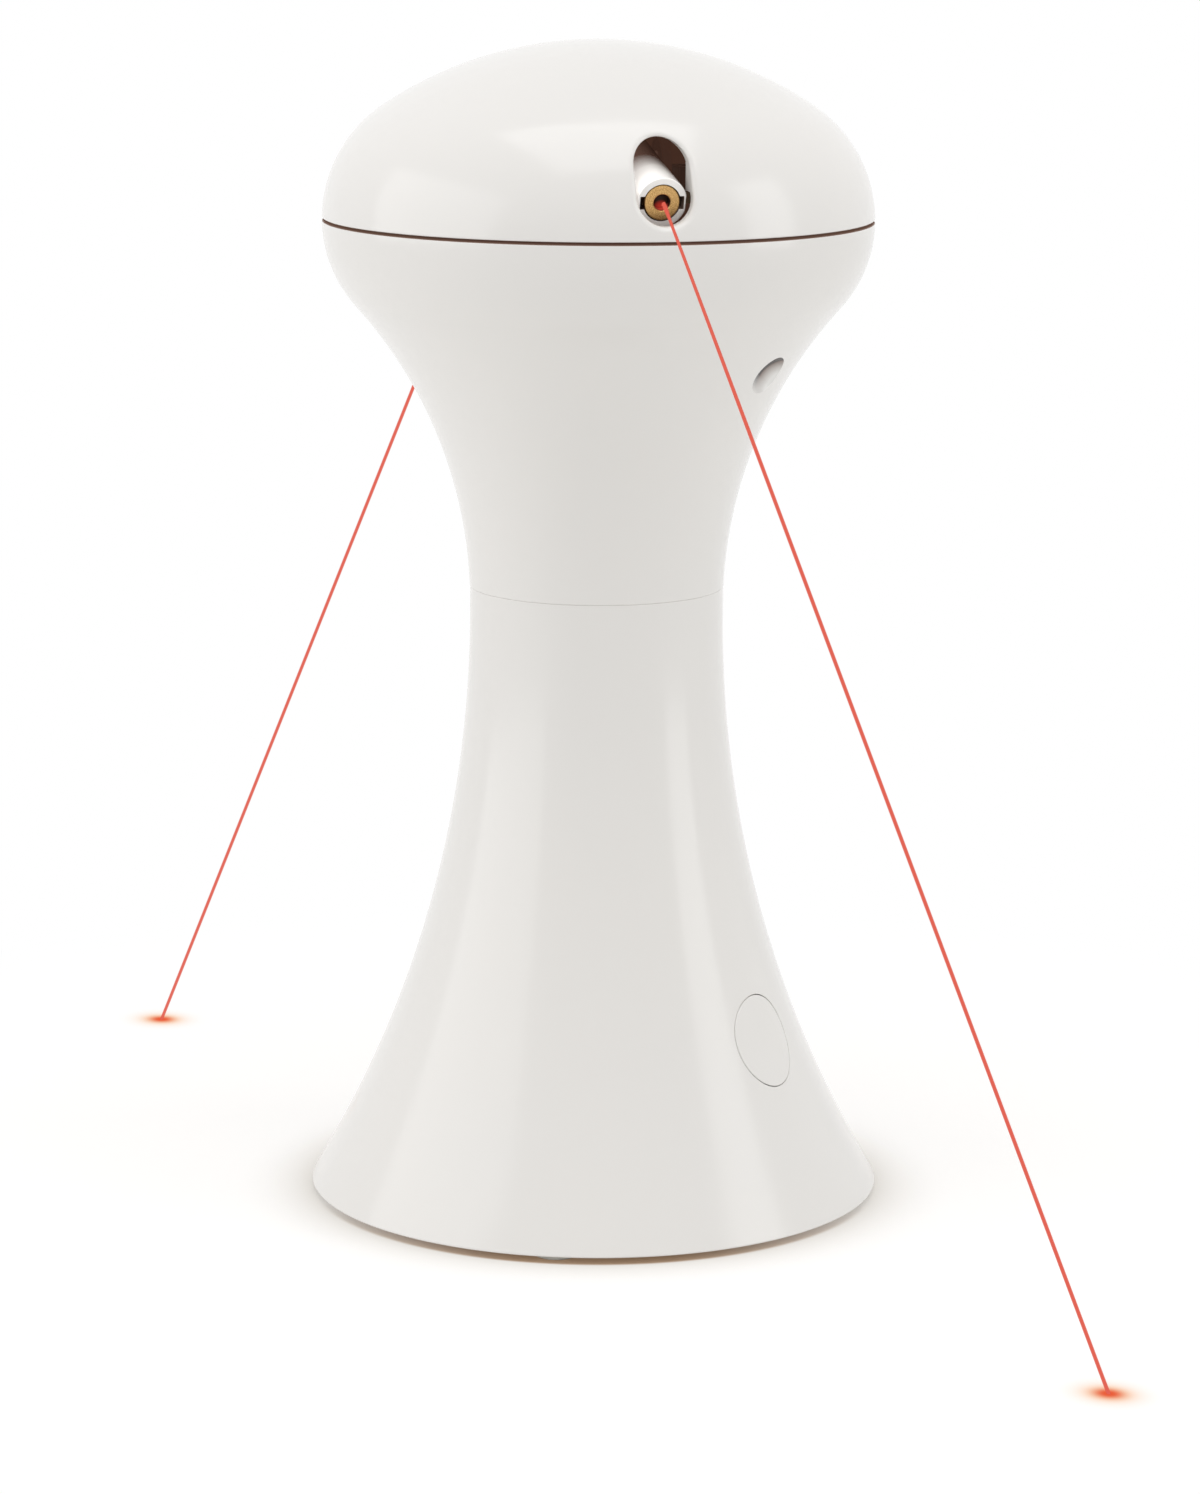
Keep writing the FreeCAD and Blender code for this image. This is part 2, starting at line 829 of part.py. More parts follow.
def tooth_points(teeth, middle):
    """The outline of one tooth, up its one flank and down the other."""
    pitch = module * teeth / 2
    root = pitch - tooth_dedendum * module
    tip = pitch + module
    start = max(root, pitch * math.cos(pressure_angle))

    def spot(radius, side):
        angle = middle + side * tooth_half_angle(teeth, max(radius, start))
        return Vector(radius * math.cos(angle), radius * math.sin(angle), 0)

    radii = [start, (start + tip) / 2, tip]
    if start > root:
        radii.insert(0, root)
    return [spot(radius, -1) for radius in radii] + [spot(radius, 1) for radius in reversed(radii)]


def toothed(teeth, phase, at, bottom):
    """A spur gear blank with its teeth, one tooth centred at the phase."""
    points = []
    for tooth in range(teeth):
        points += tooth_points(teeth, phase + 2 * math.pi * tooth / teeth)
    face = Part.Face(Part.makePolygon(points + points[:1]))
    return face.extrude(Vector(0, 0, face_width)).translated(Vector(at.x, at.y, bottom))


def meshed_phase(phase, teeth, direction, next_teeth):
    """The phase at which a gear meshes with one that is seen from it in a direction."""
    line = math.radians(direction)
    return line + math.pi + math.pi / next_teeth + (line - phase) * teeth / next_teeth


head_phase = 0.0
second_phase = meshed_phase(head_phase, head_teeth, second_idler_direction, pinion_teeth)
first_phase = meshed_phase(second_phase, wheel_teeth, first_idler_direction, pinion_teeth)
motor_phase = meshed_phase(first_phase, wheel_teeth, motor_direction, pinion_teeth)


def idler(at, phase, tier):
    """A wheel and a pinion in one moulding, running on a pin."""
    wheel = toothed(wheel_teeth, phase, at, tier_z[tier])
    pinion = toothed(pinion_teeth, phase, at, tier_z[tier + 1])
    root = module * (pinion_teeth / 2 - tooth_dedendum)
    neck = disc(root, tier_z[tier] + face_width, tier_z[tier + 1], at)
    high = tier_z[tier + 1] + face_width + overcut
    bore = disc(gear_pin_radius + running_fit, tier_z[tier] - overcut, high, at)
    return wheel.fuse([neck, pinion]).cut(bore)


def first_idler_gear():
    return idler(first_idler_at, first_phase, 0)


def second_idler_gear():
    return idler(second_idler_at, second_phase, 1)


def motor_pinion():
    pinion = toothed(pinion_teeth, motor_phase, motor_at, tier_z[0])
    low = tier_z[0] - overcut
    return pinion.cut(disc(motor_shaft_radius, low, tier_z[0] + face_width + overcut, motor_at))


def motor_shaft():
    tail = deck_bottom - motor_length / 2 + face_gap
    return disc(motor_shaft_radius, tail, tier_z[0] + face_width + face_gap, motor_at)


def gear_pin(at, tier):
    """A pin set in the deck with a shoulder under its gear."""
    shoulder_top = tier_z[tier] - face_gap
    top = tier_z[tier + 1] + face_width + face_gap + retainer_height
    shoulder = disc(gear_shoulder_radius, deck_top, shoulder_top, at)
    return disc(gear_pin_radius, deck_bottom, top, at).fuse(shoulder)


def gear_pins():
    return [gear_pin(first_idler_at, 0), gear_pin(second_idler_at, 1)]


def gear_retainers():
    """Push-on washers that keep the idlers on their pins."""
    washers = []
    for at, tier in ((first_idler_at, 0), (second_idler_at, 1)):
        bottom = tier_z[tier + 1] + face_width + face_gap
        washers.append(ring(retainer_radius, gear_pin_radius, bottom, bottom + retainer_height, at))
    return washers


def spindle_bush():
    """Flanged bush in the deck that the head's spindle turns in."""
    bore = spindle_radius + running_fit
    outer = bore + bush_wall
    bottom = deck_bottom - bush_tail
    top = deck_top + bush_flange_height
    bush = disc(outer, bottom, deck_top).fuse(disc(outer + bush_flange, deck_top, top))
    return bush.cut(disc(bore, bottom - overcut, top + overcut))


def thrust_washer():
    return ring(hub_radius + bush_wall, spindle_radius, hub_bottom - washer_thickness, hub_bottom)


def head_gear():
    """Large wheel on a long hub, with a thick boss on top that is screwed to the head's floor."""
    gear = toothed(head_teeth, head_phase, Vector(0, 0, 0), tier_z[2])
    hub = disc(hub_radius, hub_bottom, dome_bottom)
    boss = disc(flange_hub_radius, dome_bottom - flange_hub_height, dome_bottom)
    bore = disc(spindle_radius, hub_bottom - overcut, dome_bottom + overcut)
    return gear.fuse([hub, boss]).cut([bore] + pilots(hub_screw_points(), dome_bottom, short_screw))


def hub_screw_points():
    return around(hub_screw_ring, 0, 3)


def hub_screws():
    return screws_down(hub_screw_points(), floor_top, short_screw)


def head_spindle():
    """Hollow steel shaft that carries the head and lets its wires down to the slip ring."""
    return ring(spindle_radius, spindle_bore, deck_bottom - spindle_tail, floor_top)


def spindle_clip():
    """Open snap ring under the bush that keeps the spindle from lifting out."""
    top = deck_bottom - bush_tail - face_gap
    clip = ring(clip_radius, spindle_radius, top - clip_thickness, top)
    mouth = block(
        Vector(0, -spindle_radius / 2, top - 2 * clip_thickness),
        Vector(2 * clip_radius, spindle_radius / 2, top + clip_thickness),
    )
    return clip.cut(mouth)


# ---------------------------------------------------------------- slip ring
def drum_top():
    return deck_bottom - drum_top_drop


def track_bottoms():
    pitch = drum_length / track_count
    lowest = drum_top() - drum_length + (pitch - track_width) / 2
    return [lowest + pitch * track for track in range(track_count)]


def slip_ring_drum():
    """Plastic drum on the spindle that the copper tracks are pressed on."""
    return ring(drum_radius, spindle_radius, drum_top() - drum_length, drum_top())


def slip_ring_tracks():
    return [ring(drum_radius + track_height, drum_radius, z, z + track_width) for z in track_bottoms()]


def brush_block():
    """Post under the deck that holds the brushes, on the side away from the motor."""
    low = Vector(-brush_block_reach - brush_block_depth, -brush_block_width / 2, drum_top() - drum_length)
    return turn(block(low, Vector(-brush_block_reach, brush_block_width / 2, deck_bottom)), motor_azimuth())


def motor_azimuth():
    return math.degrees(math.atan2(motor_at.y, motor_at.x))


def slip_brushes():
    """Thin spring wires from the block that lie beside the tracks, one for each."""
    brushes = []
    side = drum_radius + track_height + running_fit
    far_side = side + brush_thickness
    for z in track_bottoms():
        low = z + track_width / 2 - brush_thickness
        high = low + 2 * brush_thickness
        wire = block(Vector(-brush_block_reach, side, low), Vector(drum_radius / 2, far_side, high))
        foot_end = Vector(-brush_block_reach + brush_thickness, far_side, high)
        foot = block(Vector(-brush_block_reach, 0, low), foot_end)
        brushes.append(turn(wire.fuse(foot), motor_azimuth()))
    return brushes


# ---------------------------------------------------------------- head
def slot_prism(grow, inner, outer, low_z=None):
    """An upright round-ended slot, cut along -Y between two reaches from the axis."""
    half = slot_width / 2 + grow
    top_centre = slot_top_z - slot_width / 2
    bottom_centre = slot_bottom_z + slot_width / 2
    solid = block(Vector(-half, -outer, bottom_centre), Vector(half, -inner, top_centre))
    for z in (bottom_centre, top_centre):
        end = Part.makeCylinder(half, outer - inner, Vector(0, -outer, z), Vector(0, 1, 0))
        solid = solid.fuse(end)
    if low_z is not None:
        solid = solid.cut(block(Vector(-half, -outer, 0), Vector(half, -inner, low_z)))
    return solid


def dome_boss_points():
    return around(dome_boss_ring, 45, 4)


def both_slots():
    slot = slot_prism(0, pivot_reach, head_radius + overcut)
    return [slot, turn(slot, 180)]


def slotted_form():
    """The dome's outside with a soft lip round each slot."""
    form = dome_form().cut(both_slots())
    reach = (pivot_reach + head_radius) / 2
    lips = [edge for edge in form.Edges if min(abs(vertex.Point.y) for vertex in edge.Vertexes) > reach]
    return form.makeFillet(slot_lip, lips)


def head_dome():
    """Domed cover with a slot at the front and the back, each with an inner collar over its upper part."""
    points = dome_lining()
    inside = Vector(0, 0, dome_bottom - overcut)
    hollow = turned([inside, Vector(points[0].x, 0, inside.z)] + points + [inside])
    shell = slotted_form().cut(hollow)
    fittings = [disc(dome_boss_radius, floor_top, top_z, at) for at in dome_boss_points()]
    for degrees in (0, 180):
        collar = slot_prism(collar_thickness, head_radius - collar_depth, head_radius, collar_step_z)
        fittings.append(turn(collar, degrees))
    inner = core(dome_lining(wall / 2))
    shell = shell.fuse([piece.common(inner) for piece in fittings])
    holes = [disc(screw_radius, floor_top - overcut, floor_top + long_screw, at) for at in dome_boss_points()]
    return shell.cut(holes + both_slots()).removeSplitter()


def head_floor():
    """Turning floor of the head, with a skirt that hangs inside the flare's mouth."""
    radius = head_radius - wall - floor_gap
    floor = disc(radius, dome_bottom, floor_top)
    skirt_radius = head_radius - wall - swing_gap
    skirt = ring(skirt_radius, skirt_radius - skirt_wall, dome_bottom - skirt_depth, dome_bottom)
    posts = [disc(head_post_radius, floor_top, head_board_seat, at) for at in head_post_points()]
    floor = floor.fuse([skirt] + posts)
    holes = [disc(spindle_radius, dome_bottom - overcut, floor_top + overcut)]
    screwed = hub_screw_points() + dome_boss_points() + cradle_screw_points()
    holes += clear_holes(screwed, dome_bottom, floor_top)
    holes += pilots(head_post_points(), head_board_seat, head_board_seat - dome_bottom + overcut)
    return floor.cut(holes)


def head_screws():
    return screws_up(dome_boss_points(), dome_bottom, long_screw)


def head_post_points():
    x = head_board_inner + head_board_length / 2
    y = head_board_half_width - head_post_radius
    return [Vector(x, -y, 0), Vector(x, y, 0)]


def head_board():
    """Board beside the lasers that feeds their drivers."""
    low = Vector(head_board_inner, -head_board_half_width, head_board_seat)
    board = block(low, Vector(head_board_inner + head_board_length, head_board_half_width, head_board_top))
    return board.cut(clear_holes(head_post_points(), head_board_seat, head_board_top))


def head_board_components():
    middle = Vector(head_board_inner + head_board_length / 2, 0, 0)
    return board_parts(head_board_top, middle, Vector(part_spacing - head_post_radius, 0, 0))


def head_board_screws():
    return screws_down(head_post_points(), head_board_top, stub_screw)


def cheek_inner():
    return tube_radius + cheek_gap


def cradle_screw_points():
    x = cheek_inner() + cheek_thickness + cradle_foot_width / 2
    return [Vector(side * x, end * pivot_reach, 0) for side in (-1, 1) for end in (-1, 1)]


def front_cradle():
    """Two round-topped cheeks on flanged feet that carry a laser's trunnions."""
    pieces = []
    front = -pivot_reach - cheek_half_depth
    back = -pivot_reach + cheek_half_depth
    foot_top = floor_top + cradle_foot_thickness
    for side in (-1, 1):
        inner = side * cheek_inner()
        outer = side * (cheek_inner() + cheek_thickness)
        foot = side * (cheek_inner() + cheek_thickness + cradle_foot_width)
        low_x, high_x = sorted((inner, outer))
        pieces.append(block(Vector(low_x, front, floor_top), Vector(high_x, back, pivot_z)))
        pieces.append(rod(cheek_half_depth, low_x, high_x, -pivot_reach, pivot_z))
        low_x, high_x = sorted((inner, foot))
        pieces.append(block(Vector(low_x, front, floor_top), Vector(high_x, back, foot_top)))
    low = Vector(-cheek_inner(), back - cheek_thickness, floor_top)
    bridge = block(low, Vector(cheek_inner(), back, foot_top))
    bore = rod(trunnion_radius + running_fit, -head_radius, head_radius, -pivot_reach, pivot_z)
    holes = pilots(cradle_screw_points(), foot_top, cradle_foot_thickness + overcut)
    return bridge.fuse(pieces).cut([bore] + holes).removeSplitter()


def cradle_screws():
    return screws_up(cradle_screw_points(), dome_bottom, floor_thickness + cradle_foot_thickness)


# ---------------------------------------------------------------- lasers
def aim(shape):
    """Lays a shape modelled along +X, its front at x 0, on the front laser's dipping axis."""
    tipped = shape.rotated(Vector(0, 0, 0), Vector(0, 1, 0), tube_dip)
    return face_out(tipped.translated(Vector(tube_front, 0, 0)), 0, tube_front_z)


def laser_tube():
    """Plastic barrel with trunnions, open at the back and keyed at the front."""
    barrel = rod(tube_radius, -tube_length, 0)
    reach = cheek_inner() + cheek_thickness
    start = Vector(-pivot_setback, -reach, 0)
    trunnions = Part.makeCylinder(trunnion_radius, 2 * reach, start, Vector(0, 1, 0))
    barrel = barrel.fuse(trunnions)
    keys = block(
        Vector(-key_length, -module_radius - module_ring - key_depth, -key_width / 2),
        Vector(overcut, module_radius + module_ring + key_depth, key_width / 2),
    )
    ring_seat = rod(module_radius + module_ring, -module_ring_depth, overcut)
    bore = rod(module_radius, -tube_length - overcut, overcut)
    return aim(barrel.cut([bore, ring_seat, keys]))


def laser_module():
    """Brass laser module with a small aperture in its face."""
    body = rod(module_radius, -module_length, 0)
    return aim(body.cut(rod(aperture_radius, -aperture_depth - lens_thickness, overcut)))


def laser_lens():
    return aim(rod(aperture_radius, -aperture_depth - lens_thickness, -aperture_depth))


def laser_driver():
    """Narrow board behind the module, inside the barrel."""
    low = Vector(-module_length - driver_length, -driver_width / 2, -driver_thickness / 2)
    return aim(block(low, Vector(-module_length, driver_width / 2, driver_thickness / 2)))


def rear(shape):
    """The copy of a front piece that looks out of the back slot."""
    return turn(shape, 180)


# ---------------------------------------------------------------- the assembly
parts = {
    "lower_housing": lower_housing(),
    "upper_housing": upper_housing(),
    "base_plate": base_plate(),
    "base_screws": base_screws(),
    "rubber_feet": rubber_feet(),
    "battery_door": battery_door(),
    "battery_door_screw": battery_door_screw(),
    "battery_cells": battery_cells(),
    "contact_springs": contact_springs(),
    "contact_plates": contact_plates(),
    "power_button": power_button(),
    "switch_plunger": switch_plunger(),
    "switch_body": switch_body(),
    "switch_board": switch_board(),
    "switch_board_screws": switch_board_screws(),
    "main_board": main_board(),
    "board_components": board_components(),
    "board_screws": board_screws(),
    "motor_deck": motor_deck(),
    "deck_screws": deck_screws(),
    "drive_motor": drive_motor(),
    "motor_screws": motor_screws(),
    "motor_shaft": motor_shaft(),
    "motor_pinion": motor_pinion(),
    "first_idler_gear": first_idler_gear(),
    "second_idler_gear": second_idler_gear(),
    "gear_pins": gear_pins(),
    "gear_retainers": gear_retainers(),
    "spindle_bush": spindle_bush(),
    "thrust_washer": thrust_washer(),
    "head_gear": head_gear(),
    "hub_screws": hub_screws(),
    "head_spindle": head_spindle(),
    "spindle_clip": spindle_clip(),
    "slip_ring_drum": slip_ring_drum(),
    "slip_ring_tracks": slip_ring_tracks(),
    "brush_block": brush_block(),
    "slip_brushes": slip_brushes(),
    "head_dome": head_dome(),
    "head_floor": head_floor(),
    "head_screws": head_screws(),
    "head_board": head_board(),
    "head_board_components": head_board_components(),
    "head_board_screws": head_board_screws(),
    "front_cradle": front_cradle(),
    "rear_cradle": rear(front_cradle()),
    "cradle_screws": cradle_screws(),
    "front_laser_tube": laser_tube(),
    "front_laser_module": laser_module(),
    "front_laser_lens": laser_lens(),
    "front_laser_driver": laser_driver(),
    "rear_laser_tube": rear(laser_tube()),
    "rear_laser_module": rear(laser_module()),
    "rear_laser_lens": rear(laser_lens()),
    "rear_laser_driver": rear(laser_driver()),
}

os.makedirs("parts", exist_ok=True)
for name, shape in parts.items():
    solid = Part.makeCompound(shape) if isinstance(shape, list) else shape
    solid.exportStep("parts/" + name + ".step")
    state = "valid" if solid.isValid() else "BROKEN"
    print(name, len(solid.Solids), "solids", round(solid.Volume, 1), "mm3", state)
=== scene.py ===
# %% [markdown]
# An automatic cat laser toy: a white trumpet-shaped stand, and on it a domed head that turns without end. Two
# white barrels look out of round-ended slots in the dome, each with a brass laser module in its mouth. The
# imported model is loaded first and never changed. Every piece is placed by its boxes and a few named bends.
# Lengths are in millimetres, and the mesh maker turns them into metres at the very end.

# %% The frame
import json
import math

import bmesh
import bpy
from mathutils import Matrix, Vector


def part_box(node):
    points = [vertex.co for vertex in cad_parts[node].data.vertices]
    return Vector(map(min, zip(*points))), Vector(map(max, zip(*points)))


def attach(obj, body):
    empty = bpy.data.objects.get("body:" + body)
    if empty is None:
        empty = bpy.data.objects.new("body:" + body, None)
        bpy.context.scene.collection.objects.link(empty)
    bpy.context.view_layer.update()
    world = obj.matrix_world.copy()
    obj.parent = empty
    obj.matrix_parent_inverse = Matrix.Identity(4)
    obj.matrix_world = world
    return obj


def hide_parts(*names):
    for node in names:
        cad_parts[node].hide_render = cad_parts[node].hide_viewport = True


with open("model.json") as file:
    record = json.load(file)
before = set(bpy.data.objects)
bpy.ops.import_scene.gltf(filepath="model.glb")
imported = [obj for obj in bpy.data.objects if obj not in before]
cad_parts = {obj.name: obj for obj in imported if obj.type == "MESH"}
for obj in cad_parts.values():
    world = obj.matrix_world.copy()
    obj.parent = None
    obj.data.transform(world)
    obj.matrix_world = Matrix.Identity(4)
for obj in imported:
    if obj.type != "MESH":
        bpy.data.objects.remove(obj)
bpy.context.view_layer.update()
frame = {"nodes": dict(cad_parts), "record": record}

mm = 0.001

# %% [markdown]
# The outline of the whole toy is six curves, one above the other, that meet without a corner. Heights and
# widths come from the boxes of the three big shells. Only the neck and the bends are named here, and each
# free bend is worked out so that it touches its neighbours smoothly, as a pattern maker would draw it.

# %% Measures of the outline
def box_of(node):
    return [[v / mm for v in corner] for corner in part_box(node)]


(_, _, foot_height), (rim_radius, _, spigot_top) = box_of("lower_housing")
(_, _, neck_seam), (head_radius, _, head_seam) = box_of("upper_housing")
(_, _, dome_bottom), (_, _, top) = box_of("head_dome")

wall = 2.4
neck_radius = 23.25
waist = neck_seam - 5.1
waist_top = waist + 2.0
shoulder_bend = 22.9
brow_bend = 24.5
stand_step, flare_step, tight_step = 2.4, 1.9, 1.3

spread = rim_radius - neck_radius
pedestal_bend = (spread ** 2 + (waist - foot_height) ** 2) / (2 * spread)
tuck = head_radius - shoulder_bend - neck_radius
rise = head_seam - waist_top
flare_bend = (tuck ** 2 + rise ** 2 - shoulder_bend ** 2) / (2 * (shoulder_bend + tuck))
dome_height = top - head_seam
brow_centre = head_radius - brow_bend
crown_bend = (brow_centre ** 2 + dome_height ** 2 - brow_bend ** 2) / (2 * (dome_height - brow_bend))
print(f"stand bend {pedestal_bend:.1f}, flare bend {flare_bend:.1f}, crown bend {crown_bend:.1f} mm")

# %% [markdown]
# A moulded shell is a curve turned round an axis, so one small class describes a bend of that curve. A hollow
# bend, such as the waist, looks at its own centre. Each point knows the exact direction it faces, which gives
# clean reflections on gloss with far fewer faces than smoothing would need.


# %% Bends
roll_steps = 5


class Bend:
    """An arc of the outline, in the half plane of radius and height."""

    def __init__(self, centre_r, centre_z, radius, hollow=False):
        self.centre_r, self.centre_z, self.radius, self.hollow = centre_r, centre_z, radius, hollow
        self.side = -1 if hollow else 1

    def inward(self, depth):
        """The same bend, a depth inside the surface."""
        return Bend(self.centre_r, self.centre_z, self.radius - self.side * depth, self.hollow)

    def tilt(self, z):
        """How far the surface leans back from upright at a height, as an angle."""
        return self.side * math.asin(max(-1.0, min(1.0, (z - self.centre_z) / self.radius)))

    def point(self, tilt):
        """(radius, height, and the direction faced) where the surface leans back by that angle."""
        reach, face_r, face_z = self.side * self.radius, math.cos(tilt), math.sin(tilt)
        return self.centre_r + reach * face_r, self.centre_z + reach * face_z, face_r, face_z

    def at(self, z):
        return self.point(self.tilt(z))

    def sweep(self, start, end, count=roll_steps):
        """Points from one tilt to another."""
        return [self.point(start + (end - start) * i / count) for i in range(count + 1)]

    def walk(self, low, high, step):
        """Points from one height to another, about a step apart."""
        start, end = self.tilt(low), self.tilt(high)
        return self.sweep(start, end, max(2, math.ceil(abs(end - start) * self.radius / step)))

    def rolled_end(self, plane, rounding, above):
        """The rounding of the corner with a flat end at a height, and where the bend takes over."""
        z = plane - rounding if above else plane + rounding
        inset = self.inward(rounding)
        lean = inset.tilt(z)
        ends = (lean, math.pi / 2) if above else (-math.pi / 2, lean)
        return Bend(inset.at(z)[0], z, rounding).sweep(*ends), self.point(lean)[1]


pedestal = Bend(neck_radius + pedestal_bend, waist, pedestal_bend, hollow=True)
flare = Bend(neck_radius + flare_bend, waist_top, flare_bend, hollow=True)
shoulder = Bend(head_radius - shoulder_bend, head_seam, shoulder_bend)
brow = Bend(brow_centre, head_seam, brow_bend)
crown = Bend(0, top - crown_bend, crown_bend)
shoulder_joint = head_seam - shoulder_bend * rise / (flare_bend + shoulder_bend)
crown_tilt = math.atan2(head_seam - crown.centre_z, brow_centre)
crown_joint = brow.point(crown_tilt)[1]
print(f"flare meets shoulder at {shoulder_joint:.1f}, brow meets crown at {crown_joint:.1f} mm")

# %% [markdown]
# A skin gathers points, the direction that each one faces, and faces. Surfaces that meet at a sharp edge each
# bring their own points. These are merged in the mesh, while the facings stay with the faces' corners, so the
# edge keeps its crease and the mesh is closed. Automatic smoothing shows as ripples on large polished
# surfaces.

# %% Skins
merge_gap = 0.002


class Skin:
    """Points and faces in millimetres that become one closed mesh with exact shading."""

    def __init__(self):
        self.places, self.facings, self.faces, self.finishes = [], [], [], []

    def point(self, place, facing):
        self.places.append(place)
        self.facings.append(facing.normalized())
        return len(self.places) - 1

    def face(self, corners, flip=False, finish=0):
        self.faces.append(corners[::-1] if flip else corners)
        self.finishes.append(finish)

    def strips(self, rings, flip=False, finish=0, windows=()):
        """Quads all round between each ring of points and the next, but not inside the windows."""
        for row, (first, second) in enumerate(zip(rings, rings[1:])):
            for i in range(len(first)):
                if not any(window.holds(i, row) for window in windows):
                    after = (i + 1) % len(first)
                    self.face([first[i], first[after], second[after], second[i]], flip, finish)

    def object(self, name, *materials, matrix=Matrix()):
        """The finished mesh as an object, with its open edges counted."""
        mesh = bpy.data.meshes.new(name)
        mesh.from_pydata([place * mm for place in self.places], [], self.faces)
        shade = mesh.attributes.new("facing", "FLOAT_VECTOR", "CORNER")
        shade.data.foreach_set("vector", [x for face in self.faces for i in face for x in self.facings[i]])
        mesh.polygons.foreach_set("material_index", self.finishes)
        mesh.polygons.foreach_set("use_smooth", [True] * len(self.faces))
        work = bmesh.new()
        work.from_mesh(mesh)
        bmesh.ops.remove_doubles(work, verts=work.verts, dist=merge_gap * mm)
        bmesh.ops.dissolve_degenerate(work, edges=work.edges, dist=merge_gap / 2 * mm)
        bmesh.ops.delete(work, geom=[v for v in work.verts if not v.link_faces], context="VERTS")
        open_edges = sum(1 for edge in work.edges if len(edge.link_faces) != 2)
        work.to_mesh(mesh)
        work.free()
        mesh.normals_split_custom_set([tuple(item.vector) for item in mesh.attributes["facing"].data])
        mesh.attributes.remove(mesh.attributes["facing"])
        for material in materials:
            mesh.materials.append(material)
        made = bpy.data.objects.new(name, mesh)
        made.matrix_world = matrix
        bpy.context.scene.collection.objects.link(made)
        print(f"{name}: {len(mesh.polygons)} faces, {open_edges} open edges")
        return made


def stand_in(piece, body, node):
    """Rides a piece on its body, in the place of a node of the model, which it hides."""
    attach(piece, body)
    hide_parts(node)


print(f"points within {merge_gap} mm are merged")

# %% [markdown]
# Nearly every piece is round about some axis, so one lathe serves them all. It turns a run of radii and
# depths into rings, or a list of corners into crisp sides, as a tool would cut them. Azimuths count from the
# front laser, which looks along -Y, towards +X. 192 columns keep the widest rim within a hundredth of a
# millimetre of round.

# %% The lathe
columns = 192
up_axis = Vector((0, 0, 1))


def circle(radius, count):
    angles = [2 * math.pi * k / count for k in range(count)]
    return [(radius * math.cos(angle), radius * math.sin(angle)) for angle in angles]


def quarter(steps, first=0):
    """Angles through a quarter turn, for a rounding."""
    return [math.pi / 2 * k / steps for k in range(first, steps + 1)]


def around(azimuth):
    """The outward and the sideways direction at an azimuth."""
    sine, cosine = math.sin(azimuth), math.cos(azimuth)
    return Vector((sine, -cosine, 0)), Vector((cosine, sine, 0))


class Lathe:
    """Turns runs of (radius, depth, facing outward, facing along) round an axis of a skin."""

    def __init__(self, skin, axes=(*around(0), up_axis), centre=Vector(), count=columns):
        self.skin, self.centre, self.count = skin, centre, count
        self.axes = Matrix(axes).transposed()
        self.mirrored = self.axes.determinant() < 0

    def point(self, place, way):
        """A point whose place and facing are given across, up and along."""
        return self.skin.point(self.centre + self.axes @ Vector(place), self.axes @ Vector(way))

    def ring(self, shape, depth, outward, along):
        """A ring of points. Its shape is a radius, or a list of places across the axis."""
        ring = []
        for across, up in shape if isinstance(shape, list) else circle(shape, self.count):
            share = outward / (math.hypot(across, up) or 1.0)
            ring.append(self.point((across, up, depth), (across * share, up * share, along)))
        return ring

    def turn(self, run, inside=False, finish=0, windows=()):
        sign = -1 if inside else 1
        rings = [self.ring(shape, depth, sign * out, sign * along) for shape, depth, out, along in run]
        self.skin.strips(rings, inside != self.mirrored, finish, windows)
        return rings

    def crisp(self, corners, finish=0):
        """Straight sides from corner to corner, facing the walk's right with the axis at the left."""
        for (r0, z0), (r1, z1) in zip(corners, corners[1:]):
            run = math.hypot(r1 - r0, z1 - z0)
            facing = ((z1 - z0) / run, (r0 - r1) / run)
            self.turn([(r0, z0, *facing), (r1, z1, *facing)], finish=finish)


def lined(run):
    """The inner skin's points behind a run of the outer skin."""
    return [(r - wall * face_r, z - wall * face_z, face_r, face_z) for r, z, face_r, face_z in run]


def rows_between(run, low, high):
    """The first and last row of a run that lie between two heights."""
    inside = [j for j, point in enumerate(run) if low <= point[1] <= high]
    return inside[0], inside[-1]


print("a column of the widest rim is", round(2 * math.pi * rim_radius / columns, 2), "mm wide")

# %% [markdown]
# A hole or a dimple is fitted into a window, a block of cells left out of the turned grid. Rays run from its
# border to the nearest point of the feature's core: a point for a round hole, an upright line for a
# round-ended slot. Each place on a ray is a known distance from the edge, so a soft lip is a rounding rolled
# along it. A Boolean cut would leave slivers that shade badly, and no lip.


# %% Windows in the grid
class Window:
    """A block of grid cells round an azimuth, between two rows."""

    def __init__(self, azimuth, half, low, high):
        self.azimuth = math.radians(azimuth)
        self.left = (round(self.azimuth / (2 * math.pi) * columns) - half) % columns
        self.wide, self.low, self.high = 2 * half, low, high

    def holds(self, column, row):
        return (column - self.left) % columns < self.wide and self.low <= row < self.high

    def border(self):
        """(column, row) all round, starting at the lower left and running rightwards."""
        right = self.left + self.wide
        path = [(i, self.low) for i in range(self.left, right)]
        path += [(right, j) for j in range(self.low, self.high)]
        path += [(i, self.high) for i in range(right, self.left, -1)]
        path += [(self.left, j) for j in range(self.high, self.low, -1)]
        return [(i % columns, j) for i, j in path]

    def points(self, grid):
        return [grid[j][i] for i, j in self.border()]


class Ray:
    """A line across the hole's axis, from a place on its core out to the window's border."""

    def __init__(self, across, up, core, group):
        self.core = min(max(up, core[0]), core[1])
        self.length = math.hypot(across, up - self.core)
        self.across, self.up, self.group = across / self.length, (up - self.core) / self.length, group

    def place(self, distance):
        return self.across * distance, self.core + self.up * distance


def between(a, b, share):
    return tuple(p + (q - p) * share for p, q in zip(a, b))


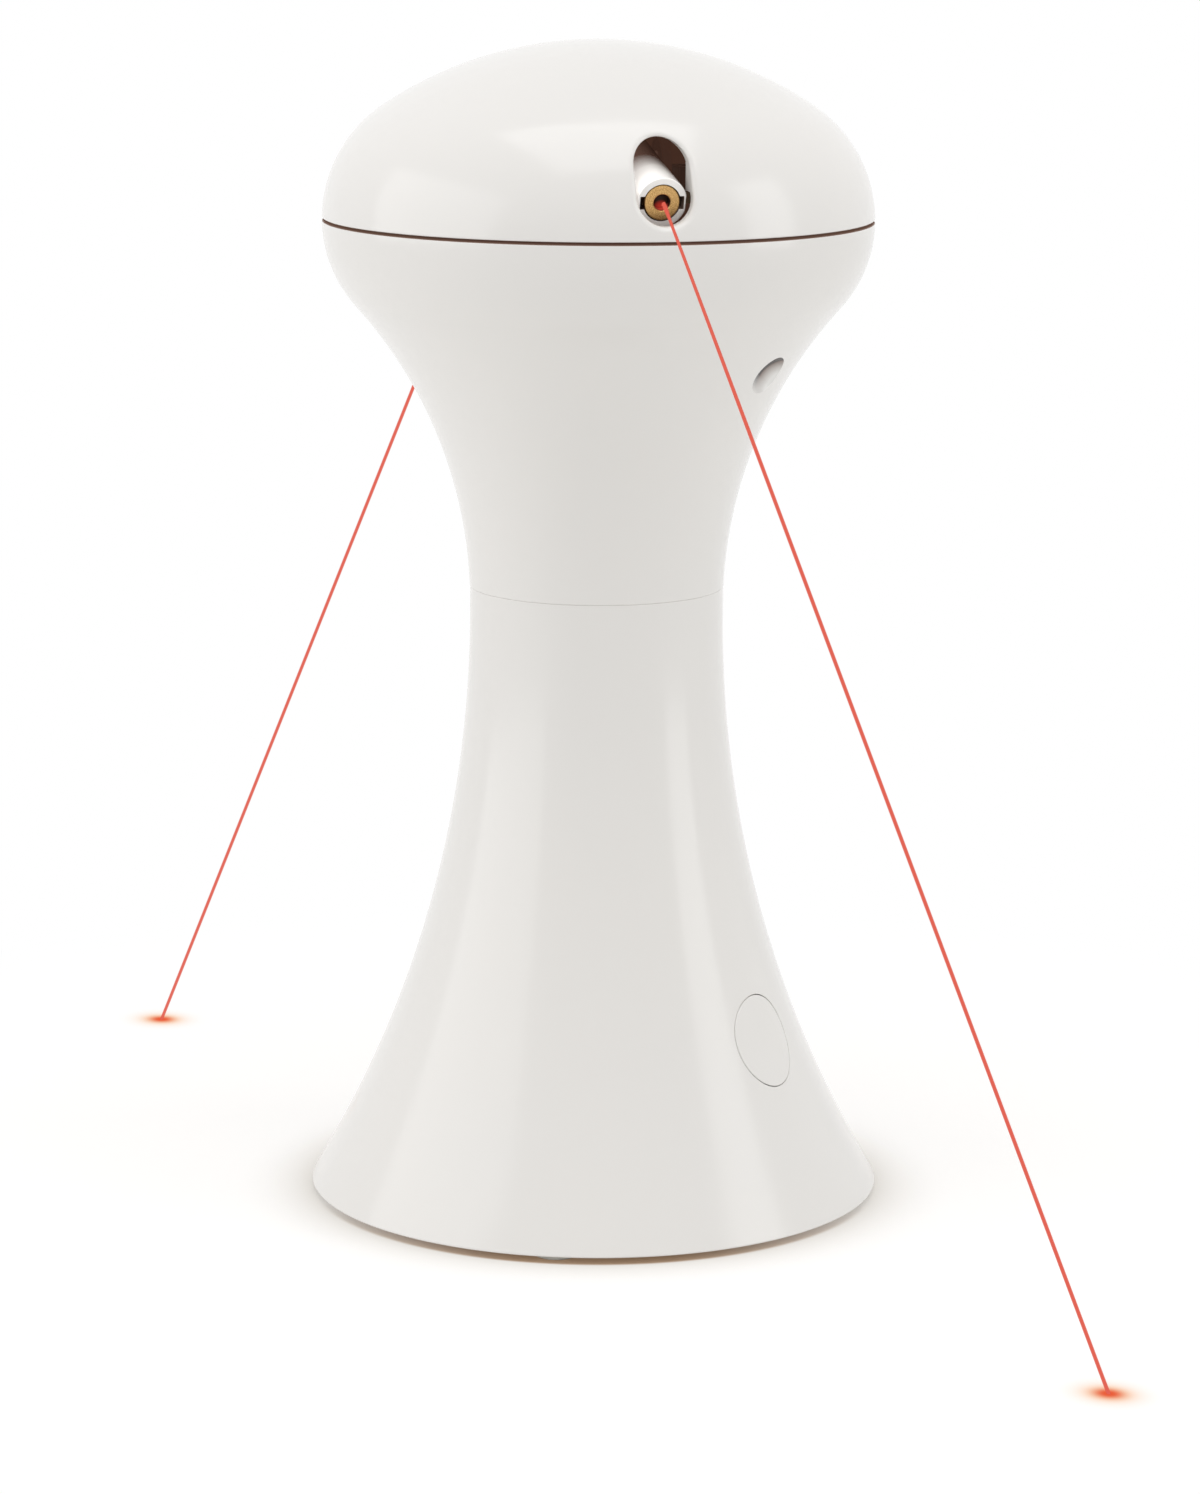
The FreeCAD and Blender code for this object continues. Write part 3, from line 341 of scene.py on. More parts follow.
def rays_of(border, core, per_cell, extra=()):
    """Rays to evenly spaced places on a border of (across, up) places, and at the extra heights."""
    rays = []
    for group, (a, b) in enumerate(zip(border, border[1:] + border[:1])):
        stops = [i / per_cell for i in range(per_cell)]
        stops += [(z - a[1]) / (b[1] - a[1]) for z in extra if min(a[1], b[1]) < z < max(a[1], b[1])]
        rays += [Ray(*between(a, b, t), core, group) for t in sorted(stops)]
    return rays


def fan(skin, border, ring, rays, flip=False, finish=0):
    """Faces between a border of grid points and the ring of ray points next to it."""
    for group, corner in enumerate(border):
        members = [k for k, ray in enumerate(rays) if ray.group == group]
        inner = [ring[k] for k in members] + [ring[(members[-1] + 1) % len(rays)]]
        skin.face([corner, border[(group + 1) % len(border)]] + inner[::-1], flip, finish)


print("a column turns by", 360 / columns, "degrees")

# %% [markdown]
# An opening goes right through the wall: over the rounded lip, along the bore, and back over the inner skin.
# The slots and the button's bore also have a collar inside, a raised sleeve that stiffens the thin wall and
# hides its cut edge. It is left out below the step, where the slot shows the dark inside of the head.

# %% An opening through the wall
lip_steps = 7
rays_per_cell = 3
wall_shares, lining_shares = (0.7, 0.4, 0.15), (0.0, 0.3, 0.65)
least_collar = 0.1
half_slit = 0.02


def surface(curve, across, up):
    """How far out a turned surface is at a place across a hole's axis, and the way it faces there."""
    r, _, face_r, face_z = curve(up)
    out = math.sqrt(r * r - across * across)
    return out, Vector((out / r * face_r, across / r * face_r, face_z))


class Opening:
    """A bore of a radius, or an upright slot, straight in through a turned wall."""

    def __init__(self, outside, inside, radius, core, lip, collar, collar_end, step=0.0):
        self.outside, self.inside, self.radius, self.core, self.lip = outside, inside, radius, core, lip
        self.collar, self.collar_end, self.step = collar, collar_end, step

    def lip_stations(self, ray):
        """(out, place, facing) along a ray, over the wall and round the lip."""
        made, rim = [], self.radius + self.lip
        for share in wall_shares:
            spot = ray.place(rim + (ray.length - rim) * share)
            out, way = surface(self.outside, *spot)
            made.append((out, spot, way))
        for turn in quarter(lip_steps):
            spot = ray.place(self.radius + self.lip * (1 - math.sin(turn)))
            out, way = surface(self.outside, *spot)
            way = way / way.x * math.cos(turn) - Vector((0, ray.across, ray.up)) * math.sin(turn)
            made.append((out - self.lip * (1 - math.cos(turn)), spot, way))
        return made

    def bore_stations(self, ray, lip_out, goal):
        """The same, along the bore, round any collar, and over the inner skin to a goal."""
        inward, backward = Vector((0, -ray.across, -ray.up)), Vector((-1, 0, 0))
        edge, back, end = ray.place(self.radius), ray.place(self.radius + self.collar), self.collar_end
        back_out = surface(self.inside, *back)[0]
        if edge[1] <= self.step or back_out <= end + least_collar:
            back, end = edge, surface(self.inside, *edge)[0]
            back_out = end
        made = [
            (lip_out, edge, inward), (end, edge, inward), (end, edge, backward), (end, back, backward),
            (end, back, -inward), (back_out, back, -inward),
        ]
        for share in lining_shares:
            out, way = surface(self.inside, *between(back, goal, share))
            made.append((out, between(back, goal, share), -way))
        return made

    def cut(self, skin, window, outer, inner, finish_inside=0):
        """Fits the opening into the windows of the outer and the inner grid."""
        out_way, side_way = around(window.azimuth)
        axes = Matrix((out_way, side_way, up_axis)).transposed()
        borders = window.points(outer), window.points(inner)
        near, far = ([(skin.places[i].dot(side_way), skin.places[i].z) for i in border] for border in borders)
        extra = (self.step - half_slit, self.step + half_slit) if self.step else ()
        rays, rows = rays_of(near, self.core, rays_per_cell, extra), []
        for group, (a, b) in enumerate(zip(far, far[1:] + far[:1])):
            members = [ray for ray in rays if ray.group == group]
            for k, ray in enumerate(members):
                row = self.lip_stations(ray)
                row += self.bore_stations(ray, row[-1][0], between(a, b, k / len(members)))
                rows.append([skin.point(axes @ Vector((out, *spot)), axes @ way) for out, spot, way in row])
        rings = list(zip(*rows))
        fan(skin, borders[0], rings[0], rays)
        lip_end = len(wall_shares) + lip_steps + 1
        ends = [0, lip_end, lip_end + 2, lip_end + 4, lip_end + 6, len(rings)]
        for k, (first, last) in enumerate(zip(ends, ends[1:])):
            skin.strips(rings[first:last], finish=finish_inside if k > 2 else 0)
        fan(skin, borders[1], rings[-1], rays, True, finish_inside)


print("a lip is rolled in", lip_steps, "steps")

# %% [markdown]
# The materials come next, because every shape below is finished as it is made. A wire is one socket of a node
# tree that can be written into sums, so a pattern reads like the maths it is. Any other node comes from one
# method, which takes its kind, its settings and its inputs, in that order.


# %% Writing materials as sums
def operator(operation, reflected=False):
    """What a sign between two values does: it adds a Math node, with its sides swapped where reflected."""
    def apply(self, other):
        return self.math(operation, *((other, self) if reflected else (self, other)))
    return apply


class Wire:
    """A value in a node tree. Sums on it add Math nodes."""

    __add__ = __radd__ = operator("ADD")
    __sub__, __rsub__ = operator("SUBTRACT"), operator("SUBTRACT", reflected=True)
    __mul__ = __rmul__ = operator("MULTIPLY")
    __truediv__, __rtruediv__ = operator("DIVIDE"), operator("DIVIDE", reflected=True)
    __pow__, __gt__ = operator("POWER"), operator("GREATER_THAN")

    def __init__(self, tree, socket):
        self.tree, self.socket = tree, socket

    def math(self, operation, *values):
        return self.tree.node("Math", {"operation": operation}, dict(enumerate(values)))

    def sine(self):
        return self.math("SINE", self)

    def root(self):
        return self.math("SQRT", self)

    def clamped(self):
        return self.tree.node("Clamp", {}, {0: self})


class Tree:
    """The nodes of a material or a world, and the shader that it starts with."""

    def __init__(self, owner, shader):
        owner.use_nodes = True
        self.tree = owner.node_tree
        self.shader = self.tree.nodes[shader]

    def node(self, kind, settings, inputs, output=0):
        """A node of a kind, with its settings made first, then the values or wires of its inputs."""
        made = self.tree.nodes.new("ShaderNode" + kind)
        for key, value in settings.items():
            setattr(made, key, value)
        for key, value in inputs.items():
            if isinstance(value, Wire):
                self.tree.links.new(value.socket, made.inputs[key])
            else:
                made.inputs[key].default_value = value
        return Wire(self, made.outputs[output])

    def feed(self, **wires):
        """Links wires to the sockets of the shader."""
        for socket, wire in wires.items():
            self.tree.links.new(wire.socket, self.shader.inputs[socket.replace("_", " ")])


print("sums become Math nodes")

# %% [markdown]
# A finish is one material. Values that are the same all over go straight to its shader's sockets, and wires
# only to the few that can be baked later. Patterns are read in the place of a point on its own piece, in
# metres, so they stay with the piece when it moves, and a noise's scale is about one over the size of its
# blots.


# %% Finishes
class Finish(Tree):
    """A material on a Principled shader."""

    def __init__(self, name, **fixed):
        self.material = bpy.data.materials.new(name)
        super().__init__(self.material, "Principled BSDF")
        for socket, value in fixed.items():
            self.shader.inputs[socket.replace("_", " ")].default_value = value

    def show(self, shader):
        """Shows another shader in place of the first one."""
        self.tree.nodes.remove(self.shader)
        self.tree.links.new(shader.socket, self.tree.nodes["Material Output"].inputs["Surface"])

    def place(self, of=None):
        """Where a point is on its own piece, or as another object sees it."""
        return self.node("TexCoord", {"object": of} if of else {}, {}, "Object")

    def axes(self, names, of=None):
        where = self.place(of)
        return [self.node("SeparateXYZ", {}, {0: where}, name) for name in names]

    def far(self, across, up):
        """The distance from an axis."""
        return (across * across + up * up).root()

    def vector(self, operation, first, second):
        """A sum on two vectors. A dot product or a distance gives a plain value."""
        output = "Value" if operation in ("DOT_PRODUCT", "DISTANCE") else "Vector"
        return self.node("VectorMath", {"operation": operation}, {0: first, 1: second}, output)

    def noise(self, scale, detail=2.0, stretch=None):
        """Soft random values about 0.5."""
        where = self.vector("MULTIPLY", self.place(), stretch) if stretch else self.place()
        return self.node("TexNoise", {}, {"Vector": where, "Scale": scale, "Detail": detail})

    def blend(self, mask, first, second):
        """A colour between two others."""
        return self.node("Mix", {"data_type": "RGBA"}, {0: mask, 6: first, 7: second}, 2)

    def bump(self, height, distance):
        """Raises the surface by a height from 0 to 1 times a distance in metres."""
        self.feed(Normal=self.node("Bump", {}, {"Height": height, "Distance": distance}))

    def glow_faintly(self, mask, level, least):
        """The little light that thin white walls let in, from a level down to its least share."""
        self.feed(Emission_Color=self.blend(mask, level, (*(v * least for v in level[:3]), 1)))
        self.shader.inputs["Emission Strength"].default_value = 1.0


def rgb(red, green, blue):
    """A colour given as on a screen, from 0 to 255, as the linear values that a shader wants."""
    levels = [v / 255 for v in (red, green, blue)]
    return tuple(v / 12.92 if v <= 0.04045 else ((v + 0.055) / 1.055) ** 2.4 for v in levels) + (1,)


print("half way up a screen's scale is a linear", round(rgb(128, 128, 128)[0], 3))

# %% [markdown]
# The shells, the button and the barrels are white ABS from a polished mould. Close up, such gloss is never
# perfect: the skin has a faint orange peel a millimetre or two across, the resin is a little cloudy in broad
# soft patches, and fingers and packing leave it a touch less shiny here and there.

# %% White gloss plastic
def gloss_white(name):
    """The finish, and its colour before anything is put over it."""
    finish = Finish(name, IOR=1.49, Specular_IOR_Level=0.5)
    colour = finish.blend(finish.noise(22, 3), rgb(234, 231, 227), rgb(231, 229, 226))
    finish.feed(Base_Color=colour, Roughness=0.13 + 0.05 * finish.noise(60, 4) + 0.02 * finish.noise(900, 1))
    finish.bump(finish.noise(420, 2), 0.000006)
    return finish, colour


white_plastic = gloss_white("white_gloss_plastic")[0].material
print("made", white_plastic.name)

# %% [markdown]
# The inside of the head shows only through the slots. Its inner skin is painted dark warm brown, painted
# shade for the dark inside of the head, and the same painted shade runs on over the rim under the turning
# head, so the seam reads as a brown line. The chassis is moulded in the same brown, matt, with the fine
# spark-eroded grain of hidden mouldings. Daylight that soaks in through the thin white walls is slow to
# render, so a faint even glow on the brown, painted light, stands for it.

# %% Dark brown plastic
def grained(name, light, dark, grain, cloud, rough, lift, painted_glow=None, **fixed):
    """Two near colours in soft clouds, under a fine grain that roughens and lifts the surface."""
    finish = Finish(name, **fixed)
    fine, patches = finish.noise(*grain), finish.noise(*cloud)
    finish.feed(Base_Color=finish.blend(patches, light, dark), Roughness=rough[0] + rough[1] * fine)
    finish.bump(fine, lift)
    # The faint glow is painted light for daylight soaking in through thin white walls.
    if painted_glow:
        finish.glow_faintly(patches, painted_glow, 0.75)
    return finish.material


def brown(name, light, dark, grain, rough, painted_glow=None):
    matt = {"IOR": 1.5, "Specular_IOR_Level": 0.4}
    return grained(name, light, dark, (grain, 4), (90, 3), (rough, 0.15), 0.00003, painted_glow, **matt)


# Painted shade: dark brown for the shaded inside of the head, with a faint glow of painted light.
brown_painted_shade = brown("brown_painted_shade_inside", rgb(92, 68, 58), rgb(78, 56, 48), 700, 0.55, rgb(68, 46, 36))
# Painted shade: brown on the rim faces in the seam's gap under the head, with a faint painted glow.
brown_rim_shade = brown("brown_painted_shade_on_rim", rgb(104, 82, 72), rgb(92, 72, 62), 700, 0.55, rgb(86, 64, 53))
brown_chassis = brown("brown_head_chassis", rgb(122, 96, 82), rgb(104, 80, 68), 1500, 0.42, rgb(58, 39, 31))
brown_plastic = brown("brown_moulded_plastic", rgb(112, 86, 74), rgb(98, 73, 62), 1500, 0.42)
print("made", brown_painted_shade.name, "and", brown_plastic.name)

# %% [markdown]
# The lower shell is the stand: a hollow pedestal with a rolled rim, a flat seam at the neck and a spigot
# above it that the upper shell slides over. The underside has a step that takes the base plate. The round
# bore for the power button goes in level, so on the sloping wall it shows as an egg-shaped ring.

# %% The stand shell
rim_roll = 0.25
neck_roll = 0.17
seam_roll = 0.32
plate_step = 2.9
plate_seat = foot_height + 2.1
spigot_radius = neck_radius - wall - 0.2
button_azimuth = 42.7
button_height = 32.75
button_radius = 7.85
button_gap = 0.25
button_window, button_columns = 12.5, 12
bore_lip = 0.18
bore_collar = 2.1
bore_collar_end = 29.49


def stand_shell():
    skin = Skin()
    shell = Lathe(skin)
    foot, start = pedestal.rolled_end(foot_height, rim_roll, above=False)
    arc = pedestal.walk(start, waist, stand_step)
    neck_end, neck_flat = neck_seam - neck_roll, neck_radius - neck_roll
    neck = [(neck_radius, neck_end, 1, 0)] + Bend(neck_flat, neck_end, neck_roll).sweep(0, math.pi / 2)[1:]
    low, high = rows_between(arc, button_height - button_window, button_height + button_window)
    window = Window(button_azimuth, button_columns, low + len(foot), high + len(foot))
    outer = shell.turn(foot + arc + neck, windows=[window])
    mouth = pedestal.inward(wall).at(plate_seat)
    lining = [mouth] + [point for point in lined(arc) if point[1] > plate_seat]
    dropped = len(arc) - len(lining)
    inner_window = Window(button_azimuth, button_columns, low - dropped, high - dropped)
    inner = shell.turn(lining, inside=True, windows=[inner_window])
    bore = Opening(
        pedestal.at, pedestal.inward(wall).at, button_radius + button_gap,
        (button_height, button_height), bore_lip, bore_collar, bore_collar_end,
    )
    bore.cut(skin, window, outer, [None] * (len(foot) + dropped) + inner)
    throat, step = spigot_radius - wall, rim_radius - plate_step
    shell.crisp([
        (neck_flat, neck_seam), (spigot_radius, neck_seam), (spigot_radius, spigot_top), (throat, spigot_top),
        (throat, waist), (lining[-1][0], waist),
    ])
    shell.crisp([mouth[:2], (step, plate_seat), (step, foot_height), foot[0][:2]])
    return skin.object("stand_shell", white_plastic)


stand_in(stand_shell(), "base", "lower_housing")

# %% [markdown]
# High on the side of the upper shell is a plain round dimple: a shallow ball-shaped recess with a crisp edge,
# pressed in along the surface's own facing. Painted shade darkens it in brown, darkest under its upper front
# edge and thin towards the far side, and the rest of its floor is painted a lighter white against its own
# shade. The shade is a mask in two directions along the wall, and moves with it.

# %% The dimple
dimple_azimuth = 43.3
dimple_height = head_seam - 25.8
dimple_radius = 3.95
dimple_depth = 1.6
dimple_edge = 0.12
dimple_window, dimple_columns = 8.0, 7
dimple_rays_per_cell = 2
dimple_shares = (0.7, 0.35, 0.12)
edge_rings, ball_rings = 4, 10
shade_side, shade_rise = 0.87, 0.49


def on_flare(across, up):
    """A place of the flattened wall round the dimple, and the ways off it, sideways and uphill."""
    r, z, face_r, face_z = flare.point(flare.tilt(dimple_height) - up / flare.radius)
    out, side = around(math.radians(dimple_azimuth) + across / r)
    return out * r + up_axis * z, out * face_r + up_axis * face_z, side, up_axis * face_r - out * face_z


def dimple_painted_shade():
    """White gloss with painted shade that fades across it from the dimple's upper front edge."""
    finish = gloss_white("dimple_with_painted_shade")[0]
    middle, _, side, uphill = on_flare(0, 0)
    offset = finish.vector("SUBTRACT", finish.place(), middle * mm)
    down, along = (
        finish.vector("DOT_PRODUCT", offset, way / dimple_radius / mm)
        for way in (side * shade_side - uphill * shade_rise, side * shade_rise + uphill * shade_side)
    )
    # Painted shade masks, with deep the darkest core; pale is a painted lighter white against the recess's
    # shade.
    shade_mask = ((0.85 - down) / 0.75).clamped() * ((along + 1.1) / 0.9).clamped()
    deep = ((0.28 - down) / 0.2).clamped() * ((along + 0.95) / 0.3).clamped()
    pale = finish.blend(finish.noise(22, 3), rgb(244, 242, 239), rgb(241, 240, 237))
    shade_brown = finish.blend(finish.noise(800, 2), rgb(116, 86, 70), rgb(102, 76, 62))
    finish.feed(Base_Color=finish.blend(shade_mask, pale, finish.blend(deep, shade_brown, rgb(36, 24, 18))))
    return finish.material


def dimple_profile():
    """(distance from the middle, depth, lean) from the flat surface in to the middle of the recess."""
    ball = (dimple_radius ** 2 + dimple_depth ** 2) / (2 * dimple_depth)
    drop = ball - dimple_depth + dimple_edge
    reach = math.sqrt((ball + dimple_edge) ** 2 - drop ** 2)
    steepest = math.atan2(reach, drop)
    edge = [(reach - dimple_edge * math.sin(lean), dimple_edge * (1 - math.cos(lean)), lean)
            for lean in (steepest * k / edge_rings for k in range(edge_rings + 1))]
    return edge + [(ball * math.sin(lean), ball * (math.cos(lean) - 1) + dimple_depth, lean)
                   for lean in (steepest * (1 - k / ball_rings) for k in range(1, ball_rings + 1))]


def press_dimple(skin, window, grid):
    """Fills the window of the flare's grid with the dimple."""
    flattened = []
    for column, corner in zip(window.border(), window.points(grid)):
        place = skin.places[corner]
        angle = 2 * math.pi * column[0] / columns - window.azimuth
        offset = (angle + math.pi) % (2 * math.pi) - math.pi
        rise_to = (flare.tilt(dimple_height) - flare.tilt(place.z)) * flare.radius
        flattened.append((math.hypot(place.x, place.y) * offset, rise_to))
    rays, rows, profile = rays_of(flattened, (0, 0), dimple_rays_per_cell), [], dimple_profile()
    reach = profile[0][0]
    for ray in rays:
        row = []
        flat = [(reach + (ray.length - reach) * share, 0, 0) for share in dimple_shares]
        for distance, depth, lean in flat + profile:
            place, normal, side, uphill = on_flare(*ray.place(distance))
            outward = side * ray.across + uphill * ray.up
            row.append(skin.point(place - normal * depth, normal * math.cos(lean) - outward * math.sin(lean)))
        rows.append(row)
    rings = list(zip(*rows))
    fan(skin, window.points(grid), rings[0], rays)
    skin.strips(rings[:len(dimple_shares) + 1])
    skin.strips(rings[len(dimple_shares):], finish=2)


print(f"the dimple is {2 * dimple_radius} mm wide and {dimple_depth} mm deep")

# %% [markdown]
# The upper shell flares from the neck to the shoulder, where it ends in a flat rim under the turning head.
# The rim's flat face and the upper half of its rolled edge are brown, painted shade for the gap under the
# head.

# %% The upper shell
def upper_shell():
    skin = Skin()
    shell = Lathe(skin)
    foot, start = flare.rolled_end(neck_seam, neck_roll, above=False)
    brim, end = shoulder.rolled_end(head_seam, seam_roll, above=True)
    flare_run = flare.walk(start, shoulder_joint, flare_step)
    arc = flare_run + shoulder.walk(shoulder_joint, end, tight_step)[1:]
    low, high = rows_between(flare_run, dimple_height - dimple_window, dimple_height + dimple_window)
    window = Window(dimple_azimuth, dimple_columns, low + len(foot), high + len(foot))
    # The upper part of the brim carries the painted brown shade.
    white_brim, shaded_brim = brim[:3], brim[2:]
    outer = shell.turn(foot + arc + white_brim, windows=[window])
    shell.turn(shaded_brim, finish=1)
    press_dimple(skin, window, outer)
    bottom, lip = flare.inward(wall).at(neck_seam), shoulder.inward(wall).at(head_seam)
    lining = [point for point in lined(arc) if neck_seam + 0.3 < point[1] < head_seam - 0.3]
    shell.turn([bottom] + lining + [lip], inside=True)
    shell.crisp([brim[-1][:2], lip[:2]], finish=1)
    shell.crisp([bottom[:2], foot[0][:2]])
    return skin.object("flared_shell", white_plastic, brown_rim_shade, dimple_painted_shade())


stand_in(upper_shell(), "base", "upper_housing")

# %% [markdown]
# The dome is the cover of the turning head. Each slot is a round-ended window for a barrel, with a soft lip
# rolled along its edge and a white collar behind its upper part. The inner skin is painted dark brown shade.

# %% The dome shell
dome_roll = 0.28
crown_rings = 24
slot_half = 4.95
slot_bottom = head_seam + 3.0
slot_top = slot_bottom + 14.85
slot_lip = 1.15
slot_columns, slot_above = 7, 3.2
collar_wall = 1.2
collar_end = head_radius - 7.6
collar_step = head_seam + 8.6


def dome_curve(depth):
    """The dome's outline at a depth inside the surface, as a function of the height."""
    joint = brow.inward(depth).point(crown_tilt)[1]
    return lambda z: (brow if z < joint else crown).inward(depth).at(z)


def dome_shell():
    skin = Skin()
    shell = Lathe(skin)
    foot, start = brow.rolled_end(dome_bottom, dome_roll, above=False)
    arc = brow.walk(start, crown_joint, tight_step)
    arc += crown.sweep(crown_tilt, math.pi / 2, crown_rings)[1:]
    high = rows_between(arc, crown_joint, crown_joint + slot_above)[1]
    windows = [Window(azimuth, slot_columns, len(foot), high + len(foot)) for azimuth in (0, 180)]
    outer = shell.turn(foot + arc, windows=windows)
    bottom = brow.inward(wall).at(dome_bottom)
    inner_windows = [Window(azimuth, slot_columns, 1, high + 1) for azimuth in (0, 180)]
    inner = shell.turn([bottom] + lined(arc), inside=True, finish=1, windows=inner_windows)
    slot = Opening(
        dome_curve(0), dome_curve(wall), slot_half, (slot_bottom + slot_half, slot_top - slot_half),
        slot_lip, collar_wall, collar_end, collar_step,
    )
    for window in windows:
        slot.cut(skin, window, outer, [None] * (len(foot) - 1) + inner, finish_inside=1)
    shell.crisp([bottom[:2], foot[0][:2]], finish=1)
    return skin.object("dome_shell", white_plastic, brown_painted_shade)


stand_in(dome_shell(), "head", "head_dome")

# %% [markdown]
# The power button is a round cap in the level bore. Its face follows the slope of the stand, sinks a little
# towards its middle to guide a finger, and rolls over at the edge. Behind it are a flange that stops it in
# the collar and a stem that meets the switch. Only the face needs its own sums, and the lathe turns the rest.

# %% The power button
cap_radius = button_radius + 0.12
cap_roll = 0.2
cap_dish = 0.3
dish_radius = 7.0
flange_radius = 9.8
flange_face = 29.39
flange_back = 28.19
stem_radius = 2.0
stem_end = 25.49
button_spokes = 128
face_rings = 16


def cap_face(across, up, spoke, turn):
    """(place, facing) on the button's face, across, up and along, rolled over its edge by a turn."""
    r, _, face_r, face_z = pedestal.at(button_height + up)
    out = math.sqrt(r * r - across * across)
    share = min(1.0, math.hypot(across, up) / dish_radius)
    fall = 4 * cap_dish * (1 - share ** 2) * share / dish_radius
    way = Vector((across / out - fall * spoke[0], face_z * r / (face_r * out) - fall * spoke[1], -1))
    sink = cap_dish * (1 - share ** 2) ** 2 + cap_roll * (1 - math.cos(turn))
    return (across, up, sink - out), way * math.cos(turn) + Vector((*spoke, 0)) * math.sin(turn)


def button_cap():
    skin = Skin()
    out_way, side_way = around(math.radians(button_azimuth))
    cap = Lathe(skin, (side_way, up_axis, -out_way), up_axis * button_height, button_spokes)
    face_radius = cap_radius - cap_roll
    stations = [(face_radius * k / face_rings, 0.0) for k in range(face_rings + 1)]
    for turn in quarter(roll_steps, 1):
        stations.append((face_radius + cap_roll * math.sin(turn), turn))
    rings = []
    for radius, turn in stations:
        spokes = circle(1.0, button_spokes)
        rings.append([cap.point(*cap_face(radius * x, radius * y, (x, y), turn)) for x, y in spokes])
    rings.append(cap.ring(cap_radius, -flange_face, 1, 0))
    skin.strips(rings, flip=True)
    cap.crisp([
        (cap_radius, -flange_face), (flange_radius, -flange_face), (flange_radius, -flange_back),
        (stem_radius, -flange_back), (stem_radius, -stem_end), (0.0, -stem_end),
    ])
    return skin.object("power_button_cap", white_plastic)


stand_in(button_cap(), "button", "power_button")

# %% [markdown]
# The laser pieces are made in the barrel's own frame, its mouth at the origin and looking along -Y, and each
# object's matrix then aims them. So a pattern that follows the barrel's axis, such as the tool marks on the
# brass or the paint on the barrel, is written in that frame and points the right way on both barrels.

# %% The frames of the two barrels
mouth_reach = head_radius - 4.5
mouth_height = head_seam + 6.8
dip = math.radians(13.5)
pivot_reach = 22.0
barrel_spokes = 96
aim_front = Matrix.Translation(Vector((0, -mouth_reach, mouth_height)) * mm) @ Matrix.Rotation(dip, 4, "X")
aims = {"front": aim_front, "rear": Matrix.Rotation(math.pi, 4, "Z") @ aim_front}


def barrel_lathe(skin, count=barrel_spokes):
    return Lathe(skin, ((1, 0, 0), (0, 0, 1), (0, 1, 0)), count=count)


def on_both(node, slot, *makers):
    """Pieces on each barrel, in the place of a node."""
    pieces = []
    for side in aims:
        for make in makers:
            pieces.append(make(side))
            stand_in(pieces[-1], f"{side}_laser", f"{side}_{node}")
    return pieces


print(f"the barrels' mouths are {mouth_height:.1f} mm up")

# %% [markdown]
# The barrel is a white sleeve that holds the brass module. Its mouth has a softly rolled edge, a shallow
# brown seat round the module, and a keyway each side that a setting tool grips: real notches, from one keyed
# outline. Towards its far end, deeper in the head, the white is painted brown as painted shade, by a mask
# along the barrel broken up by a fine noise.

# %% The laser barrels
barrel_radius = 4.46
pivot_depth = (mouth_reach - pivot_reach) / math.cos(dip)
barrel_length = pivot_depth + 8.23
barrel_roll = 0.25
seat_radius = 3.3
seat_depth = 1.0
key_reach = 3.9
key_half = 1.15
key_depth = 2.5
keyed_steps = 40
longest_facet = 0.5
module_radius = 3.0
barrel_shade_start = 7.2
barrel_shade_length = 7.0


def barrel_white_with_painted_shade():
    finish, white = gloss_white("barrel_white")
    # Painted shade: the white turns brown towards the barrel's far end, deeper in the head.
    shade_ramp = ((finish.axes("Y")[0] - barrel_shade_start * mm) / (barrel_shade_length * mm)).clamped()
    barrel_shade_mask = (shade_ramp * 1.15 + (finish.noise(1800, 3) - 0.5) * 0.35 * shade_ramp).clamped()
    finish.feed(Base_Color=finish.blend(barrel_shade_mask, white, rgb(100, 76, 66)))
    return finish.material


barrel_white = barrel_white_with_painted_shade()
brown_seat = brown("brown_seat", rgb(92, 74, 64), rgb(76, 60, 52), 1800, 0.5)


def keyed(radius):
    """The bore's outline: a circle with a square notch at each side."""
    corner = math.asin(key_half / radius)
    half = []
    for k in range(keyed_steps + 1):
        angle = corner + (math.pi - 2 * corner) * k / keyed_steps
        half.append((radius * math.cos(angle), radius * math.sin(angle)))
    half += [(-key_reach, key_half), (-key_reach, -key_half)]
    return half + [(-x, -z) for x, z in half]


def matched(places, radius):
    """Places on a circle in the same directions as the places of an outline."""
    return [(x * radius / math.hypot(x, z), z * radius / math.hypot(x, z)) for x, z in places]


def outline_walls(skin, places, near, far):
    """The inner walls of an outline, each with its own facing, so that the notches keep crisp edges."""
    for (x0, z0), (x1, z1) in zip(places, places[1:] + places[:1]):
        length = math.hypot(x1 - x0, z1 - z0)
        ways = [Vector((z0 - z1, 0, x1 - x0))] * 2
        if length < longest_facet:
            ways = [Vector((-x0, 0, -z0)), Vector((-x1, 0, -z1))]
        around_wall = ((x0, near, z0, 0), (x1, near, z1, 1), (x1, far, z1, 1), (x0, far, z0, 0))
        skin.face([skin.point(Vector((x, y, z)), ways[k]) for x, y, z, k in around_wall], finish=1)


